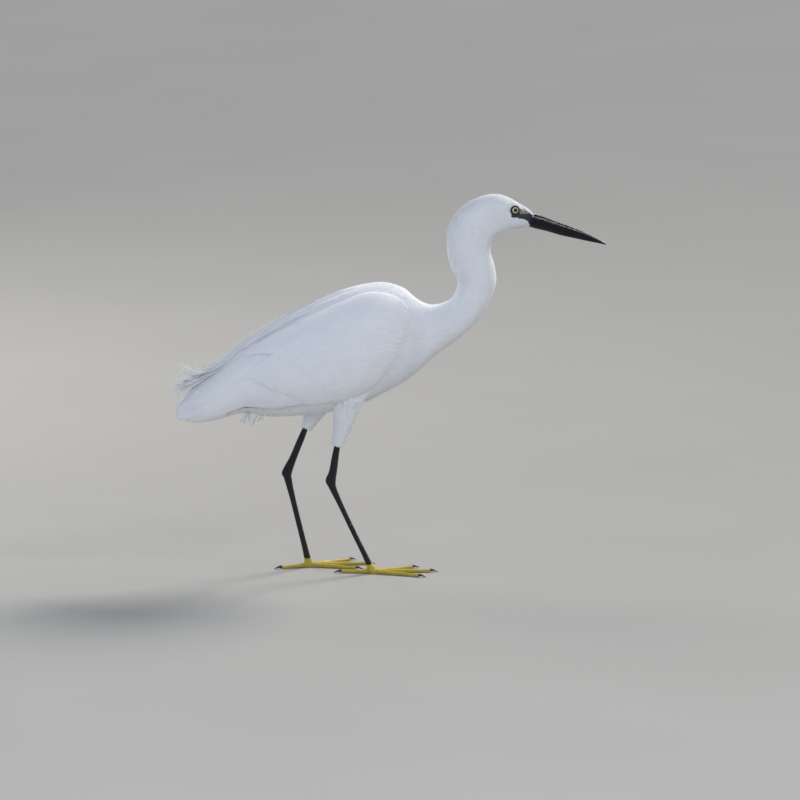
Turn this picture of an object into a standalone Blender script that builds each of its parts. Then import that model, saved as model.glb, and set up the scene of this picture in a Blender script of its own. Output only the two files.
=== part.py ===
"""Little egret, a still model at life size: it wades with its neck in a loose S and its bill forward.

Metres, +Z up, +X towards the bill and +Y to the bird's left. The origin is on the floor, under the
middle of the bird's length. The tables of rings are in millimetres.
"""

import math
import random

import bmesh
import bpy
import numpy as np
from mathutils import Vector

MM = 0.001
GAP = 0.3 * MM
SEED = 11

# Rings of the torso, from the root of the neck to the rump, and on over the folded wings to their tips.
# Each row: back x, back z, belly x, belly z, half width.
NECK_ROOT = (44.0, 278.0, 28.0, 206.0, 29.0)
BODY = (
    NECK_ROOT,
    (33.0, 283.3, 13.0, 196.0, 34.0),
    (19.0, 295.5, -4.0, 188.0, 38.0),
    (0.0, 301.5, -22.0, 180.0, 41.0),
    (-20.0, 300.0, -40.0, 174.0, 42.5),
    (-42.0, 291.0, -58.0, 169.5, 42.0),
    (-64.0, 281.0, -76.0, 167.0, 40.0),
    (-86.0, 270.0, -93.0, 166.0, 37.0),
    (-107.0, 259.5, -109.0, 165.5, 33.0),
    (-126.0, 249.0, -124.0, 166.0, 28.5),
    (-142.0, 239.0, -136.0, 168.5, 24.5),
    (-156.0, 229.0, -148.0, 171.0, 21.5),
    (-172.0, 216.5, -163.0, 167.5, 19.0),
    (-189.0, 203.5, -183.0, 161.5, 16.0),
    (-205.5, 190.0, -203.0, 158.0, 12.5),
    (-217.5, 177.0, -218.5, 159.0, 8.0),
)
RUMP_PLACE = 11.0

# Rings of the neck and head, from the breast round the S to the root of the bill.
# Each row: nape x, nape z, throat x, throat z, half width.
NECK = (
    NECK_ROOT,
    (52.0, 277.0, 52.0, 227.0, 26.0),
    (61.0, 278.7, 71.0, 240.0, 23.5),
    (69.5, 283.3, 88.0, 254.0, 21.0),
    (74.5, 290.5, 101.0, 269.5, 19.5),
    (76.5, 299.0, 110.5, 287.0, 18.0),
    (75.2, 307.0, 115.0, 303.0, 17.0),
    (70.2, 315.0, 113.0, 318.5, 16.5),
    (66.8, 326.0, 109.3, 331.0, 16.4),
    (65.4, 337.0, 109.5, 339.0, 16.4),
    (65.4, 348.8, 112.0, 346.5, 16.4),
    (67.5, 359.5, 117.0, 351.6, 16.3),
    (71.9, 368.1, 123.5, 354.2, 16.2),
    (77.5, 375.5, 130.0, 355.6, 16.2),
    (86.0, 382.3, 136.0, 356.4, 16.3),
    (97.7, 389.6, 141.0, 357.1, 16.4),
    (109.0, 392.8, 145.0, 357.8, 16.0),
    (120.0, 392.3, 148.0, 358.2, 14.6),
    (131.0, 388.2, 150.0, 358.4, 12.2),
    (141.0, 381.8, 151.2, 358.2, 9.8),
    (152.0, 374.8, 152.0, 357.0, 7.4),
)
NECK_CUTS = {"neck_lower": (0.0, 3.5), "neck_middle": (3.5, 7.0), "neck_upper": (7.0, 10.5)}
HEAD_CUT = (10.5, 20.0)

FULLNESS = 2.15
FLAT_ANGLE = math.radians(0.3)
SIDEWAYS = np.array((0.0, 1.0, 0.0))
UPRIGHT = np.array((0.0, 0.0, 1.0))
BODY_SIDES = 28
NECK_SIDES = 24


def smooth_row(rows, place):
    """The row at a place counted in rows, on a smooth curve through all the rows."""
    last = len(rows) - 1
    index = min(max(int(place), 0), last - 1)
    step = place - index
    before = rows[max(index - 1, 0)]
    start = rows[index]
    end = rows[index + 1]
    after = rows[min(index + 2, last)]
    values = []
    for a, b, c, d in zip(before, start, end, after):
        bend = (2 * a - 5 * b + 4 * c - d) * step * step + (3 * b - a - 3 * c + d) * step**3
        values.append(0.5 * (2 * b + (c - a) * step + bend))
    return np.array(values) * MM


def rounded(value):
    """A sine or cosine filled out, so that a ring is a little squarer than an ellipse."""
    return math.copysign(abs(value) ** (2 / FULLNESS), value)


def ring_axes(rows, place):
    """Centre, half height and half width of a ring, as vectors."""
    back_x, back_z, front_x, front_z, half = smooth_row(rows, place)
    centre = np.array(((back_x + front_x) / 2, 0.0, (back_z + front_z) / 2))
    upward = np.array(((back_x - front_x) / 2, 0.0, (back_z - front_z) / 2))
    return centre, upward, np.array((0.0, half, 0.0))


def ring_point(rows, place, turn):
    """A point on a ring; the turn runs from the back, over the left side, to the belly."""
    centre, upward, sideways = ring_axes(rows, place)
    return centre + upward * rounded(math.cos(turn)) + sideways * rounded(math.sin(turn))


def surface_point(rows, place, turn, lift=0.0):
    """A point at a height over the form that the rings make."""
    point = ring_point(rows, place, turn)
    if not lift:
        return point
    step = 0.02
    along = ring_point(rows, place + step, turn) - ring_point(rows, place - step, turn)
    around = ring_point(rows, place, turn + step) - ring_point(rows, place, turn - step)
    normal = np.cross(along, around)
    normal /= np.linalg.norm(normal)
    if np.dot(normal, point - ring_axes(rows, place)[0]) < 0:
        normal = -normal
    return point + normal * lift


def make_object(name, points, faces, material=None):
    """A closed mesh as an object, with its faces turned outwards."""
    mesh = bpy.data.meshes.new(name)
    shape = bmesh.new()
    corners = [shape.verts.new(point) for point in points]
    for face in faces:
        shape.faces.new([corners[index] for index in face])
    bmesh.ops.recalc_face_normals(shape, faces=shape.faces[:])
    shape.to_mesh(mesh)
    shape.free()
    thing = bpy.data.objects.new(name, mesh)
    bpy.context.scene.collection.objects.link(thing)
    if material:
        mesh.materials.append(material)
        mesh.shade_smooth()
        mesh.set_sharp_from_angle(angle=math.radians(45))
    return thing


def skin_rings(name, rings, material=None):
    """A closed form through rings of equally many points, with a flat cap at each end."""
    count = len(rings[0])
    points = [point for ring in rings for point in ring]
    faces = []
    for index in range(len(rings) - 1):
        low = index * count
        for side in range(count):
            over = (side + 1) % count
            faces.append((low + side, low + over, low + count + side))
            faces.append((low + over, low + count + over, low + count + side))
    for first, ring in ((0, rings[0]), (len(points) - count, rings[-1])):
        middle = len(points)
        points.append(np.mean(ring, axis=0))
        faces.extend((first + side, first + (side + 1) % count, middle) for side in range(count))
    return make_object(name, points, faces, material)


def loft(name, rows, span, steps, sides, material=None, lift=0.0):
    """A length of a form between two of its rings, each end drawn in by half of the gap."""
    turns = [2 * math.pi * side / sides for side in range(sides)]
    rings = []
    for index in range(steps + 1):
        place = span[0] + (span[1] - span[0]) * index / steps
        rings.append(np.array([surface_point(rows, place, turn, lift) for turn in turns]))
    for end, inward in ((0, 1), (steps, -1)):
        place = span[0] if end == 0 else span[1]
        upward, sideways = ring_axes(rows, place)[1:]
        across = np.cross(upward, sideways)
        across /= np.linalg.norm(across)
        if np.dot(across, rings[end + inward].mean(axis=0) - rings[end].mean(axis=0)) < 0:
            across = -across
        rings[end] = rings[end] + across * (GAP / 2 - lift)
    return skin_rings(name, rings, material)


def tube(name, rows, steps, sides, reference, material=None):
    """A bent tube: each row gives a centre, its thickness across the reference and along it."""
    centres = [smooth_row(rows, (len(rows) - 1) * index / steps) for index in range(steps + 1)]
    rings = []
    for index, row in enumerate(centres):
        ahead = centres[min(index + 1, steps)][:3]
        behind = centres[max(index - 1, 0)][:3]
        run = (ahead - behind) / np.linalg.norm(ahead - behind)
        across = np.cross(run, reference)
        across /= np.linalg.norm(across)
        upright = np.cross(across, run)
        ring = []
        for side in range(sides):
            turn = 2 * math.pi * (side + 0.5) / sides
            ring.append(row[:3] + across * row[3] * math.cos(turn) + upright * row[4] * math.sin(turn))
        rings.append(np.array(ring))
    return skin_rings(name, rings, material)


def slab(name, upper, lower, material=None):
    """A closed sheet from two like grids of points, both split into triangles the same way."""
    rows, columns = len(upper), len(upper[0])
    points = [point for grid in (upper, lower) for row in grid for point in row]
    shift = rows * columns
    faces = []
    for row in range(rows - 1):
        for column in range(columns - 1):
            a = row * columns + column
            b, c, d = a + 1, a + columns + 1, a + columns
            for base in (0, shift):
                faces.append((base + a, base + b, base + c))
                faces.append((base + a, base + c, base + d))
    rim = [column for column in range(columns)]
    rim += [row * columns + columns - 1 for row in range(1, rows)]
    rim += [(rows - 1) * columns + column for column in range(columns - 2, -1, -1)]
    rim += [row * columns for row in range(rows - 2, 0, -1)]
    for here, there in zip(rim, rim[1:] + rim[:1]):
        faces.append((here, there, there + shift))
        faces.append((here, there + shift, here + shift))
    return make_object(name, points, faces, material)


def combine(base, pieces, operation="UNION"):
    """One Boolean between a base and all the pieces; the pieces are then removed."""
    if not pieces:
        return base
    group = bpy.data.collections.new(base.name + "_pieces")
    bpy.context.scene.collection.children.link(group)
    for piece in pieces:
        for holder in piece.users_collection:
            holder.objects.unlink(piece)
        group.objects.link(piece)
    modifier = base.modifiers.new("combine", "BOOLEAN")
    modifier.operation = operation
    modifier.operand_type = "COLLECTION"
    modifier.collection = group
    modifier.solver = "MANIFOLD"
    bpy.context.view_layer.objects.active = base
    bpy.ops.object.modifier_apply(modifier=modifier.name)
    for piece in pieces:
        bpy.data.objects.remove(piece)
    bpy.data.collections.remove(group)
    keep_largest(base)
    return base


def keep_largest(thing):
    """Leaves only the largest closed surface of a mesh, as plain triangles."""
    shape = bmesh.new()
    shape.from_mesh(thing.data)
    bmesh.ops.triangulate(shape, faces=shape.faces[:])
    left = set(shape.faces)
    bodies = []
    while left:
        body = set()
        edge_of = [left.pop()]
        while edge_of:
            face = edge_of.pop()
            body.add(face)
            for edge in face.edges:
                for other in edge.link_faces:
                    if other in left:
                        left.remove(other)
                        edge_of.append(other)
        bodies.append(body)
    bodies.sort(key=enclosed_volume, reverse=True)
    for body in bodies[1:]:
        bmesh.ops.delete(shape, geom=list(body), context="FACES")
    bmesh.ops.dissolve_limit(
        shape, angle_limit=FLAT_ANGLE, verts=shape.verts[:], edges=shape.edges[:], use_dissolve_boundaries=False
    )
    bmesh.ops.triangulate(shape, faces=shape.faces[:])
    shape.to_mesh(thing.data)
    shape.free()


def enclosed_volume(faces):
    """The volume inside a closed set of triangles."""
    total = 0.0
    for face in faces:
        a, b, c = (vert.co for vert in face.verts)
        total += a.dot(b.cross(c)) / 6
    return abs(total)


def make_material(name, colour, roughness):
    """A plain finish for one kind of surface."""
    material = bpy.data.materials.new(name)
    material.use_nodes = True
    shader = material.node_tree.nodes["Principled BSDF"]
    shader.inputs["Base Color"].default_value = (*colour, 1.0)
    shader.inputs["Roughness"].default_value = roughness
    shader.inputs["Metallic"].default_value = 0.0
    return material


# The folded wing lies over the torso. Its own two directions run from the leading edge to the tip,
# and from the back down to the lower edge, both from 0 to 1.
WING_FRONT = ((0.0, 1.75), (0.2, 1.62), (0.42, 1.7), (0.6, 1.95), (0.72, 2.25), (0.86, 2.8), (1.0, 3.9))
WING_TOP = ((0.0, 40.0), (0.15, 28.0), (0.3, 20.5), (0.5, 14.0), (0.7, 9.5), (1.0, 6.0))
WING_LOW = (
    (0.0, 140.0),
    (0.1, 137.0),
    (0.25, 135.0),
    (0.5, 138.0),
    (0.7, 137.0),
    (0.85, 130.0),
    (1.0, 108.0),
)
WING_BACK = 15.0
WING_BACK_TOP_CUT = 1.5
WING_BACK_LOW_CUT = 0.9
WING_UNDER = 0.9 * MM
WING_RIM = 1.7 * MM
WING_SWELL = ((0.0, 3.0), (0.12, 6.5), (0.35, 6.0), (0.7, 3.4), (1.0, 1.2))
WING_ROWS = 12
WING_COLUMNS = 9
MIDLINE_GAP = 0.5 * MM


def blend(table, at):
    """The value of a table of pairs at a place between them."""
    places, values = zip(*table)
    return float(np.interp(at, places, values))


def wing_place(forward, down):
    """The ring and the turn of a place on the folded wing."""
    front = blend(WING_FRONT, down)
    back = WING_BACK - WING_BACK_TOP_CUT * (1 - min(down / 0.5, 1.0)) ** 2
    back -= WING_BACK_LOW_CUT * (max(down - 0.6, 0.0) / 0.4) ** 2
    top = blend(WING_TOP, forward)
    low = blend(WING_LOW, forward)
    return front + (back - front) * forward, math.radians(top + (low - top) * down)


def wing_height(forward, down):
    """How high the wing's outer face stands over the torso."""
    inside = max(math.sin(math.pi * min(max(down, 0.0), 1.0)), 0.0) ** 0.6
    ramp = min(1.0, (forward + 0.02) / 0.12) ** 0.5
    return WING_RIM + blend(WING_SWELL, forward) * MM * inside * ramp


def wing_point(forward, down, height, side):
    """A point over the folded wing's place on the body."""
    place, turn = wing_place(forward, down)
    point = surface_point(BODY, place, turn, height)
    return point * np.array((1.0, side, 1.0))


# Tiers of feathers on the folded wing, lowest first: primaries, secondaries, tertials and great
# coverts. Each row: count, first and last root, first and last tip, all as places forward and down
# on the wing, then half width and rise of the tip in millimetres.
WING_TIERS = (
    (6, (0.66, 0.80), (0.70, 0.50), (0.97, 1.02), (1.02, 0.56), 5.2, 0.9),
    (8, (0.20, 0.92), (0.56, 0.52), (0.42, 1.03), (0.93, 0.82), 5.8, 1.1),
    (4, (0.50, 0.46), (0.52, 0.10), (0.97, 0.64), (0.90, 0.16), 6.6, 1.3),
    (7, (0.08, 0.88), (0.40, 0.36), (0.28, 0.98), (0.68, 0.50), 5.8, 1.3),
)
TIP_JITTER = 0.008
TIP_STAGGER = 0.4
WING_PLATE = (0.84, 0.93)
VANE_FREE_DOWN = 0.96
VANE_STEPS = (0.0, 0.45, 0.84, 1.0)
VANE_WIDTHS = (0.8, 1.0, 0.86, 0.16)
VANE_THICK = 0.75
VANE_SUNK = 1.0
VANE_CROWN = 0.6
VANE_BURIED = 0.2
VANE_SAG = 90.0


def make_vane(side, root, tip, half_width, rise):
    """A feather lying on the folded wing: sunk in it where there is wing below, thin beyond it."""
    upper = []
    lower = []
    for share, wide in zip(VANE_STEPS, VANE_WIDTHS):
        forward = root[0] + (tip[0] - root[0]) * share
        down = root[1] + (tip[1] - root[1]) * share
        high = wing_height(min(forward, 1.0), down) + (rise * share * share - VANE_BURIED) * MM
        middle = wing_point(forward, down, high, side)
        out = wing_point(forward, down, high + MM, side) - middle
        out /= np.linalg.norm(out)
        run = wing_point(forward + 0.01, down + 0.01 * (tip[1] - root[1]), high, side) - middle
        across = np.cross(out, run)
        across *= -side * half_width * wide * MM / np.linalg.norm(across)
        sag = (half_width * wide) ** 2 / VANE_SAG * MM
        beyond = forward > WING_PLATE[0] or down > VANE_FREE_DOWN
        thick = VANE_THICK * MM if beyond else high - wing_height(forward, down) + VANE_SUNK * MM
        upper.append([])
        lower.append([])
        for edge, crown in ((-1, VANE_CROWN), (1, -VANE_CROWN)):
            point = middle + across * edge + out * (crown * MM - sag)
            under = point - out * (thick if beyond else thick + crown * MM)
            for corner, grid in ((point, upper), (under, lower)):
                corner[1] = side * max(side * corner[1], MIDLINE_GAP)
                grid[-1].append(corner)
    return slab("vane", upper, lower)


def make_wing(name, side, material):
    """A folded wing: a shaped core over the torso, and tiers of feathers rooted in it."""
    upper = []
    lower = []
    for row in range(WING_ROWS):
        forward = WING_PLATE[0] * row / (WING_ROWS - 1)
        upper.append([])
        lower.append([])
        for column in range(WING_COLUMNS):
            down = WING_PLATE[1] * column / (WING_COLUMNS - 1)
            upper[-1].append(wing_point(forward, down, wing_height(forward, down), side))
            lower[-1].append(wing_point(forward, down, WING_UNDER, side))
    wing = slab(name, upper, lower, material)
    vanes = []
    for count, root_a, root_b, tip_a, tip_b, half_width, rise in WING_TIERS:
        for index in range(count):
            share = index / (count - 1)
            root = [a + (b - a) * share for a, b in zip(root_a, root_b)]
            tip = [a + (b - a) * share for a, b in zip(tip_a, tip_b)]
            tip[0] += random.uniform(-TIP_JITTER, TIP_JITTER)
            vanes.append(make_vane(side, root, tip, half_width, rise + random.uniform(0, TIP_STAGGER)))
    return combine(wing, vanes)


# Height of the back plumes over the torso, in millimetres, at places along it.
PLUME_HEIGHT = (
    (3.6, 0.6),
    (4.0, 1.6),
    (4.5, 3.8),
    (5.0, 5.6),
    (6.0, 7.2),
    (9.5, 7.4),
    (12.0, 6.2),
    (14.0, 5.2),
)
LONG_PLUMES = 9
SHORT_PLUMES = 5
PLUME_WIDTH = 1.9
PLUME_THICK = 0.8
PLUME_SUNK = -1.6
PLUME_ASIDE = 0.04
PLUME_TIP_X = -231.4
PLUME_TIP_REACH = 26.0
PLUME_TIP_LOW = 199.0
PLUME_TIP_RISE = 19.0
SHORT_TIP_LIFT = 9.6
SHORT_TIP_AHEAD = 1.9
# Fractions of the golden ratio and others like it, which spread the starts and ends without order.
SCATTER_A = 0.62
SCATTER_B = 0.38
SCATTER_C = 0.55


def make_plume(start, turns, end, tip):
    """A loose plume from the mantle, along the back and free at its end."""
    rows = []
    width = PLUME_WIDTH
    for index in range(6):
        share = index / 5
        place = start + (end - start) * share
        turn = turns[0] + (turns[1] - turns[0]) * share
        high = blend(PLUME_HEIGHT, place) if index else PLUME_SUNK
        point = surface_point(BODY, place, math.radians(turn), high * MM) / MM
        across = width * (0.8 + 0.3 * math.sin(math.pi * share))
        rows.append((*point, across, PLUME_THICK * (1 - 0.4 * share)))
    last = np.array(rows[-1][:3])
    way = np.array(tip) - last
    bend = last + way * 0.6 - UPRIGHT * 0.12 * np.linalg.norm(way)
    rows.append((*bend, width * 0.55, PLUME_THICK * 0.45))
    rows.append((*tip, width * 0.2, PLUME_THICK * 0.3))
    return tube("plume", rows, 7, 3, UPRIGHT)


def make_plumes():
    """The loose plumes of the back: long ones to the tail's end, and shorter ones between."""
    plumes = []
    for index in range(LONG_PLUMES):
        aside = 2 * index / (LONG_PLUMES - 1) - 1 + PLUME_ASIDE
        start = 3.8 + 1.5 * (index * SCATTER_A % 1)
        short_by = (index * SCATTER_B + 0.24) % 1 if index != LONG_PLUMES // 2 else 0.0
        tip_x = PLUME_TIP_X + PLUME_TIP_REACH * short_by**1.4
        tip_z = PLUME_TIP_LOW + PLUME_TIP_RISE * ((index * SCATTER_C + 0.4) % 1)
        end = 13.3 - 0.5 * (index * 0.3 % 1)
        plumes.append(make_plume(start, (aside * 15, aside * 21), end, (tip_x, aside * 11, tip_z)))
    for index in range(SHORT_PLUMES):
        aside = 2 * index / (SHORT_PLUMES - 1) - 1
        start = 4.2 + 0.8 * (index * SCATTER_A % 1)
        end = 7.6 + 2.4 * (index * SCATTER_B % 1)
        turn = aside * 19 + 1
        tip = surface_point(BODY, end + SHORT_TIP_AHEAD, math.radians(turn), SHORT_TIP_LIFT * MM) / MM
        plumes.append(make_plume(start, (aside * 12, turn), end, tip))
    return plumes


def make_lock(points, width, thick):
    """A soft tapered lock that hangs from its first point, sunk in the body, to its last."""
    rows = []
    for index, point in enumerate(points):
        share = index / (len(points) - 1)
        shrink = 1 - 0.85 * share**1.5
        rows.append((*point, thick * shrink, width * shrink))
    return tube("lock", rows, 3, 3, SIDEWAYS)


def hang_lock(place, turn, fall, width, thick, out=1.2, sunk=-1.6):
    """A lock from a place on the torso that falls by a given step."""
    root = surface_point(BODY, place, math.radians(turn), sunk * MM) / MM
    leave = surface_point(BODY, place + 0.25, math.radians(turn), out * MM) / MM
    fall = np.array(fall)
    return make_lock((root, leave, leave + fall * 0.5 + np.array((0.6, 0.0, -0.6)), leave + fall), width, thick)


BREAST_LOCKS = 9
UNDERTAIL_LOCKS = 8


def make_breast_plumes():
    """Long locks that hang from the breast, clear of the belly behind them."""
    locks = []
    for index in range(BREAST_LOCKS):
        aside = 2 * index / (BREAST_LOCKS - 1) - 1
        place = 0.62 + 0.55 * (index * SCATTER_A % 1)
        fall = (-11 - 5 * (index * SCATTER_B % 1), -1.5 * aside, -10 - 5 * (index * SCATTER_C % 1))
        locks.append(hang_lock(place, 180 + 24 * aside, fall, 2.3, 0.9))
    return locks


def make_undertail_tuft():
    """Loose locks under the rump, in front of the tail."""
    locks = []
    for index in range(UNDERTAIL_LOCKS):
        aside = 2 * index / (UNDERTAIL_LOCKS - 1) - 1
        place = 8.6 + 1.5 * (index * SCATTER_A % 1)
        fall = (-9 - 7 * (index * SCATTER_B % 1), aside, -7 - 5 * (index * SCATTER_C % 1))
        locks.append(hang_lock(place, 180 + 34 * aside, fall, 2.1, 0.8, 0.8))
    return locks


NAPE_LOCKS = 9


def make_nape_locks():
    """The shaggy edge of the nape, pointing down the neck."""
    locks = []
    for index in range(NAPE_LOCKS):
        aside = (index % 5 - 2) / 2
        place = 15.4 - 3.4 * index / (NAPE_LOCKS - 1)
        turn = math.radians(26 * aside + 5 * math.sin(index * 2.3))
        root = surface_point(NECK, place, turn, -1.4 * MM) / MM
        middle = surface_point(NECK, place - 0.5, turn * 1.05, 0.7 * MM) / MM
        tip = surface_point(NECK, place - 1.25, turn * 1.1, (2.2 + 0.6 * math.sin(index * 1.7)) * MM) / MM
        locks.append(make_lock((root, middle, tip), 2.2, 1.0))
    return locks


TAIL = (
    (-156.8, 198.0, -149.2, 173.5, 12.0),
    (-166.0, 191.0, -161.0, 170.5, 12.0),
    (-180.0, 180.0, -176.5, 165.5, 11.6),
    (-198.0, 168.5, -197.0, 159.5, 11.0),
)
TAIL_CORE = 2.3
TAIL_FEATHERS = 12
TAIL_PATH = ((-164.0, 186.0), (-182.0, 175.2), (-203.0, 167.2), (-220.0, 164.0))
TAIL_SPREAD = (6.8, 8.0, 9.8, 11.0)
TAIL_WIDTHS = (4.1, 4.3, 4.3, 1.6)
TAIL_STEP_DOWN = 1.1
TAIL_STAGGER = 0.5
TAIL_THICK = 0.7
TAIL_TILT = 0.6
TAIL_ROUNDING = 5.0


def make_tail(material):
    """The tail: a core under the rump and twelve feathers, the middle pair uppermost."""
    tail = loft("tail", TAIL, (0.0, TAIL_CORE), 5, 16, material)
    feathers = []
    for index in range(TAIL_FEATHERS):
        aside = (index - (TAIL_FEATHERS - 1) / 2) / ((TAIL_FEATHERS - 1) / 2)
        rank = abs(index - (TAIL_FEATHERS - 1) / 2) - 0.5
        drop = TAIL_STEP_DOWN * rank + TAIL_STAGGER * (index % 2)
        upper = []
        lower = []
        for place, ((x, z), spread, wide) in enumerate(zip(TAIL_PATH, TAIL_SPREAD, TAIL_WIDTHS)):
            shorter = TAIL_ROUNDING * abs(aside) * place / (len(TAIL_PATH) - 1)
            middle = np.array((x + shorter, spread * aside, z - drop))
            across = SIDEWAYS * wide - UPRIGHT * TAIL_TILT * np.sign(aside)
            upper.append([(middle - across) * MM, (middle + across) * MM])
            lower.append([point - UPRIGHT * TAIL_THICK * MM for point in upper[-1]])
        feathers.append(slab("tail_feather", upper, lower))
    return combine(tail, feathers)


# Each row: centre x, y, z and thickness to the front and to the side, for the right side.
THIGH_RIGHT = (
    (-41.0, -14.0, 197.0, 13.0, 10.0),
    (-42.0, -17.0, 186.0, 15.0, 11.5),
    (-43.5, -19.0, 178.0, 14.4, 11.5),
    (-45.0, -19.8, 170.0, 12.6, 11.0),
    (-47.3, -19.3, 158.0, 9.8, 9.4),
    (-50.2, -18.2, 146.0, 7.4, 7.6),
    (-53.3, -17.0, 134.6, 5.8, 6.2),
)
THIGH_LEFT = (
    (-62.0, 14.0, 193.0, 11.0, 9.0),
    (-65.0, 16.5, 182.0, 12.6, 10.5),
    (-69.0, 18.6, 171.0, 11.8, 10.6),
    (-74.5, 18.8, 161.0, 9.3, 9.0),
    (-78.5, 18.0, 153.5, 7.2, 7.4),
    (-81.4, 17.2, 147.8, 5.9, 6.2),
)
LEG_RIGHT = (
    (-55.2, -16.0, 122.0, 3.7, 3.3),
    (-57.2, -15.0, 108.0, 4.2, 3.6),
    (-59.6, -14.2, 98.0, 5.4, 4.5),
    (-57.5, -14.7, 90.0, 4.0, 3.4),
    (-48.5, -16.3, 70.0, 3.0, 2.6),
    (-36.5, -18.6, 44.0, 2.9, 2.5),
    (-25.0, -20.8, 20.0, 3.1, 2.8),
    (-20.4, -21.7, 10.0, 3.6, 3.4),
)
LEG_LEFT = (
    (-87.2, 16.2, 136.0, 3.7, 3.3),
    (-94.5, 15.1, 119.0, 4.0, 3.5),
    (-101.6, 14.3, 103.0, 5.4, 4.5),
    (-100.6, 14.7, 95.0, 4.0, 3.4),
    (-95.0, 16.6, 72.0, 3.0, 2.6),
    (-88.3, 18.8, 45.0, 2.9, 2.5),
    (-82.0, 20.9, 20.0, 3.1, 2.8),
    (-79.6, 21.7, 10.0, 3.6, 3.4),
)
LEG_START_GAP = 0.45


def whole_leg(thigh, lower):
    """The bare leg's rows, started face to face with the end of the thigh."""
    end = np.array(thigh[-1][:3])
    run = end - np.array(thigh[-2][:3])
    run /= np.linalg.norm(run)
    start = end + run * LEG_START_GAP
    return [(*start, 3.9, 3.6), (*(start + run * 4.0), 3.8, 3.5), *lower]


def make_thigh(name, rows, material, torso_cutter):
    """A feathered thigh, cut clear of the torso that it grows from."""
    thigh = tube(name, rows, 9, 16, SIDEWAYS, material)
    return combine(thigh, [torso_cutter], "DIFFERENCE")


# Toes: turn from straight ahead towards the bird's outer side, length, thickness at root and tip.
TOES = {
    "middle": (3.0, 60.0, 3.2, 1.8),
    "inner": (-24.0, 49.0, 3.0, 1.7),
    "outer": (31.0, 52.0, 3.0, 1.7),
    "hind": (-168.0, 32.0, 3.0, 1.8),
}
TOE_PADS = {"middle": 3, "inner": 2, "outer": 4, "hind": 1}
TOE_ROOT_AHEAD = 3.6
PAD_SWELL = 0.1
CLAW_LENGTH = 8.5
CLAW_CLEAR = 0.35
CLAW_ARCH = 0.9
SOLE_SINK = 0.78


def toe_run(leg, side, toe):
    """Start of a toe and its direction along the floor."""
    turn = math.radians(TOES[toe][0]) * (1 if side < 0 else -1)
    start = np.array((leg[-1][0] + TOE_ROOT_AHEAD, leg[-1][1], 0.0))
    return start, np.array((math.cos(turn), -math.sin(turn), 0.0))


def make_foot(name, leg, side, material):
    """Four toes and the joint that they spread from, all flat where they meet the floor."""
    slant = np.array(leg[-1][:3]) - np.array(leg[-2][:3])
    slant /= np.linalg.norm(slant)
    start = np.array(leg[-1][:3]) + slant * GAP / MM
    knuckle = [
        (*start, 3.6, 3.4),
        (*(start + slant * 4.0), 4.4, 4.4),
        (*(start + slant * 8.0), 4.6, 4.6),
        (*(start + slant * 12.5), 3.8, 3.8),
    ]
    foot = tube(name, knuckle, 3, 10, SIDEWAYS, material)
    toes = []
    for toe in TOES:
        begin, run = toe_run(leg, side, toe)
        length, root, tip = TOES[toe][1:]
        rows = []
        for index in range(8):
            share = index / 7
            pad = 1 + PAD_SWELL * math.cos(2 * math.pi * TOE_PADS[toe] * share)
            thick = (root + (tip - root) * share) * pad
            centre = begin + run * (length * share)
            rows.append((centre[0], centre[1], thick * SOLE_SINK, thick, thick))
        toes.append(tube(toe, rows, 6, 6, UPRIGHT))
    combine(foot, toes)
    floor = make_object("floor_cutter", *box_mesh((-0.3, -0.2, -0.05), (0.3, 0.2, 0.0)))
    return combine(foot, [floor], "DIFFERENCE")


def box_mesh(low, high):
    """Corners and faces of a box."""
    points = [(x, y, z) for x in (low[0], high[0]) for y in (low[1], high[1]) for z in (low[2], high[2])]
    faces = [(0, 1, 3, 2), (4, 6, 7, 5), (0, 4, 5, 1), (2, 3, 7, 6), (0, 2, 6, 4), (1, 5, 7, 3)]
    return points, faces


def make_claw(name, leg, side, toe, material):
    """A curved claw that carries a toe on, just clear of the floor."""
    begin, run = toe_run(leg, side, toe)
    length, tip = TOES[toe][1], TOES[toe][3]
    thick = tip * (1 + PAD_SWELL) * 0.92
    rows = []
    for index in range(5):
        share = index / 4
        centre = begin + run * (length + GAP / MM + CLAW_LENGTH * share)
        radius = thick * (1 - 0.86 * share)
        height = CLAW_CLEAR + radius + CLAW_ARCH * math.sin(math.pi * min(share * 1.1, 1.0)) * (1 - share)
        rows.append((centre[0], centre[1], height, radius, radius))
    return tube(name, rows, 4, 5, UPRIGHT, material)


# Bill: culmen, line of the mouth and lower edge at each length from the face, with half widths.
# Each row: x, culmen z, mouth z, lower z, half width of the upper bill, half width of the lower one.
BILL = (
    (152.3, 374.4, 362.4, 357.2, 6.6, 6.2),
    (160.0, 371.0, 360.0, 354.8, 5.7, 5.3),
    (170.1, 367.1, 356.8, 352.2, 4.9, 4.4),
    (183.4, 361.8, 352.7, 347.9, 4.1, 3.6),
    (196.8, 356.4, 348.5, 344.9, 3.4, 2.9),
    (210.2, 350.4, 344.4, 341.9, 2.6, 2.1),
    (223.6, 343.3, 340.4, 339.0, 1.6, 1.2),
    (231.5, 338.4, 337.8, 337.1, 0.45, 0.3),
)


def make_bill_half(name, upper, material):
    """One half of the bill: a ridge or keel over a flat cutting edge."""
    rings = []
    for index in range(10):
        x, culmen, mouth, keel, wide_up, wide_low = smooth_row(BILL, 7 * index / 9)
        edge = mouth + (GAP / 2 if upper else -GAP / 2)
        far = culmen if upper else keel
        half = wide_up if upper else wide_low
        ring = []
        for side in range(9):
            turn = math.pi * side / 8
            ring.append((x, half * math.cos(turn), edge + (far - edge) * rounded(math.sin(turn)) ** 0.8))
        rings.append(np.array(ring))
    half_bill = skin_rings(name, rings, material)
    if upper:
        combine(half_bill, [make_nostril(-1), make_nostril(1)], "DIFFERENCE")
    return half_bill


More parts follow.
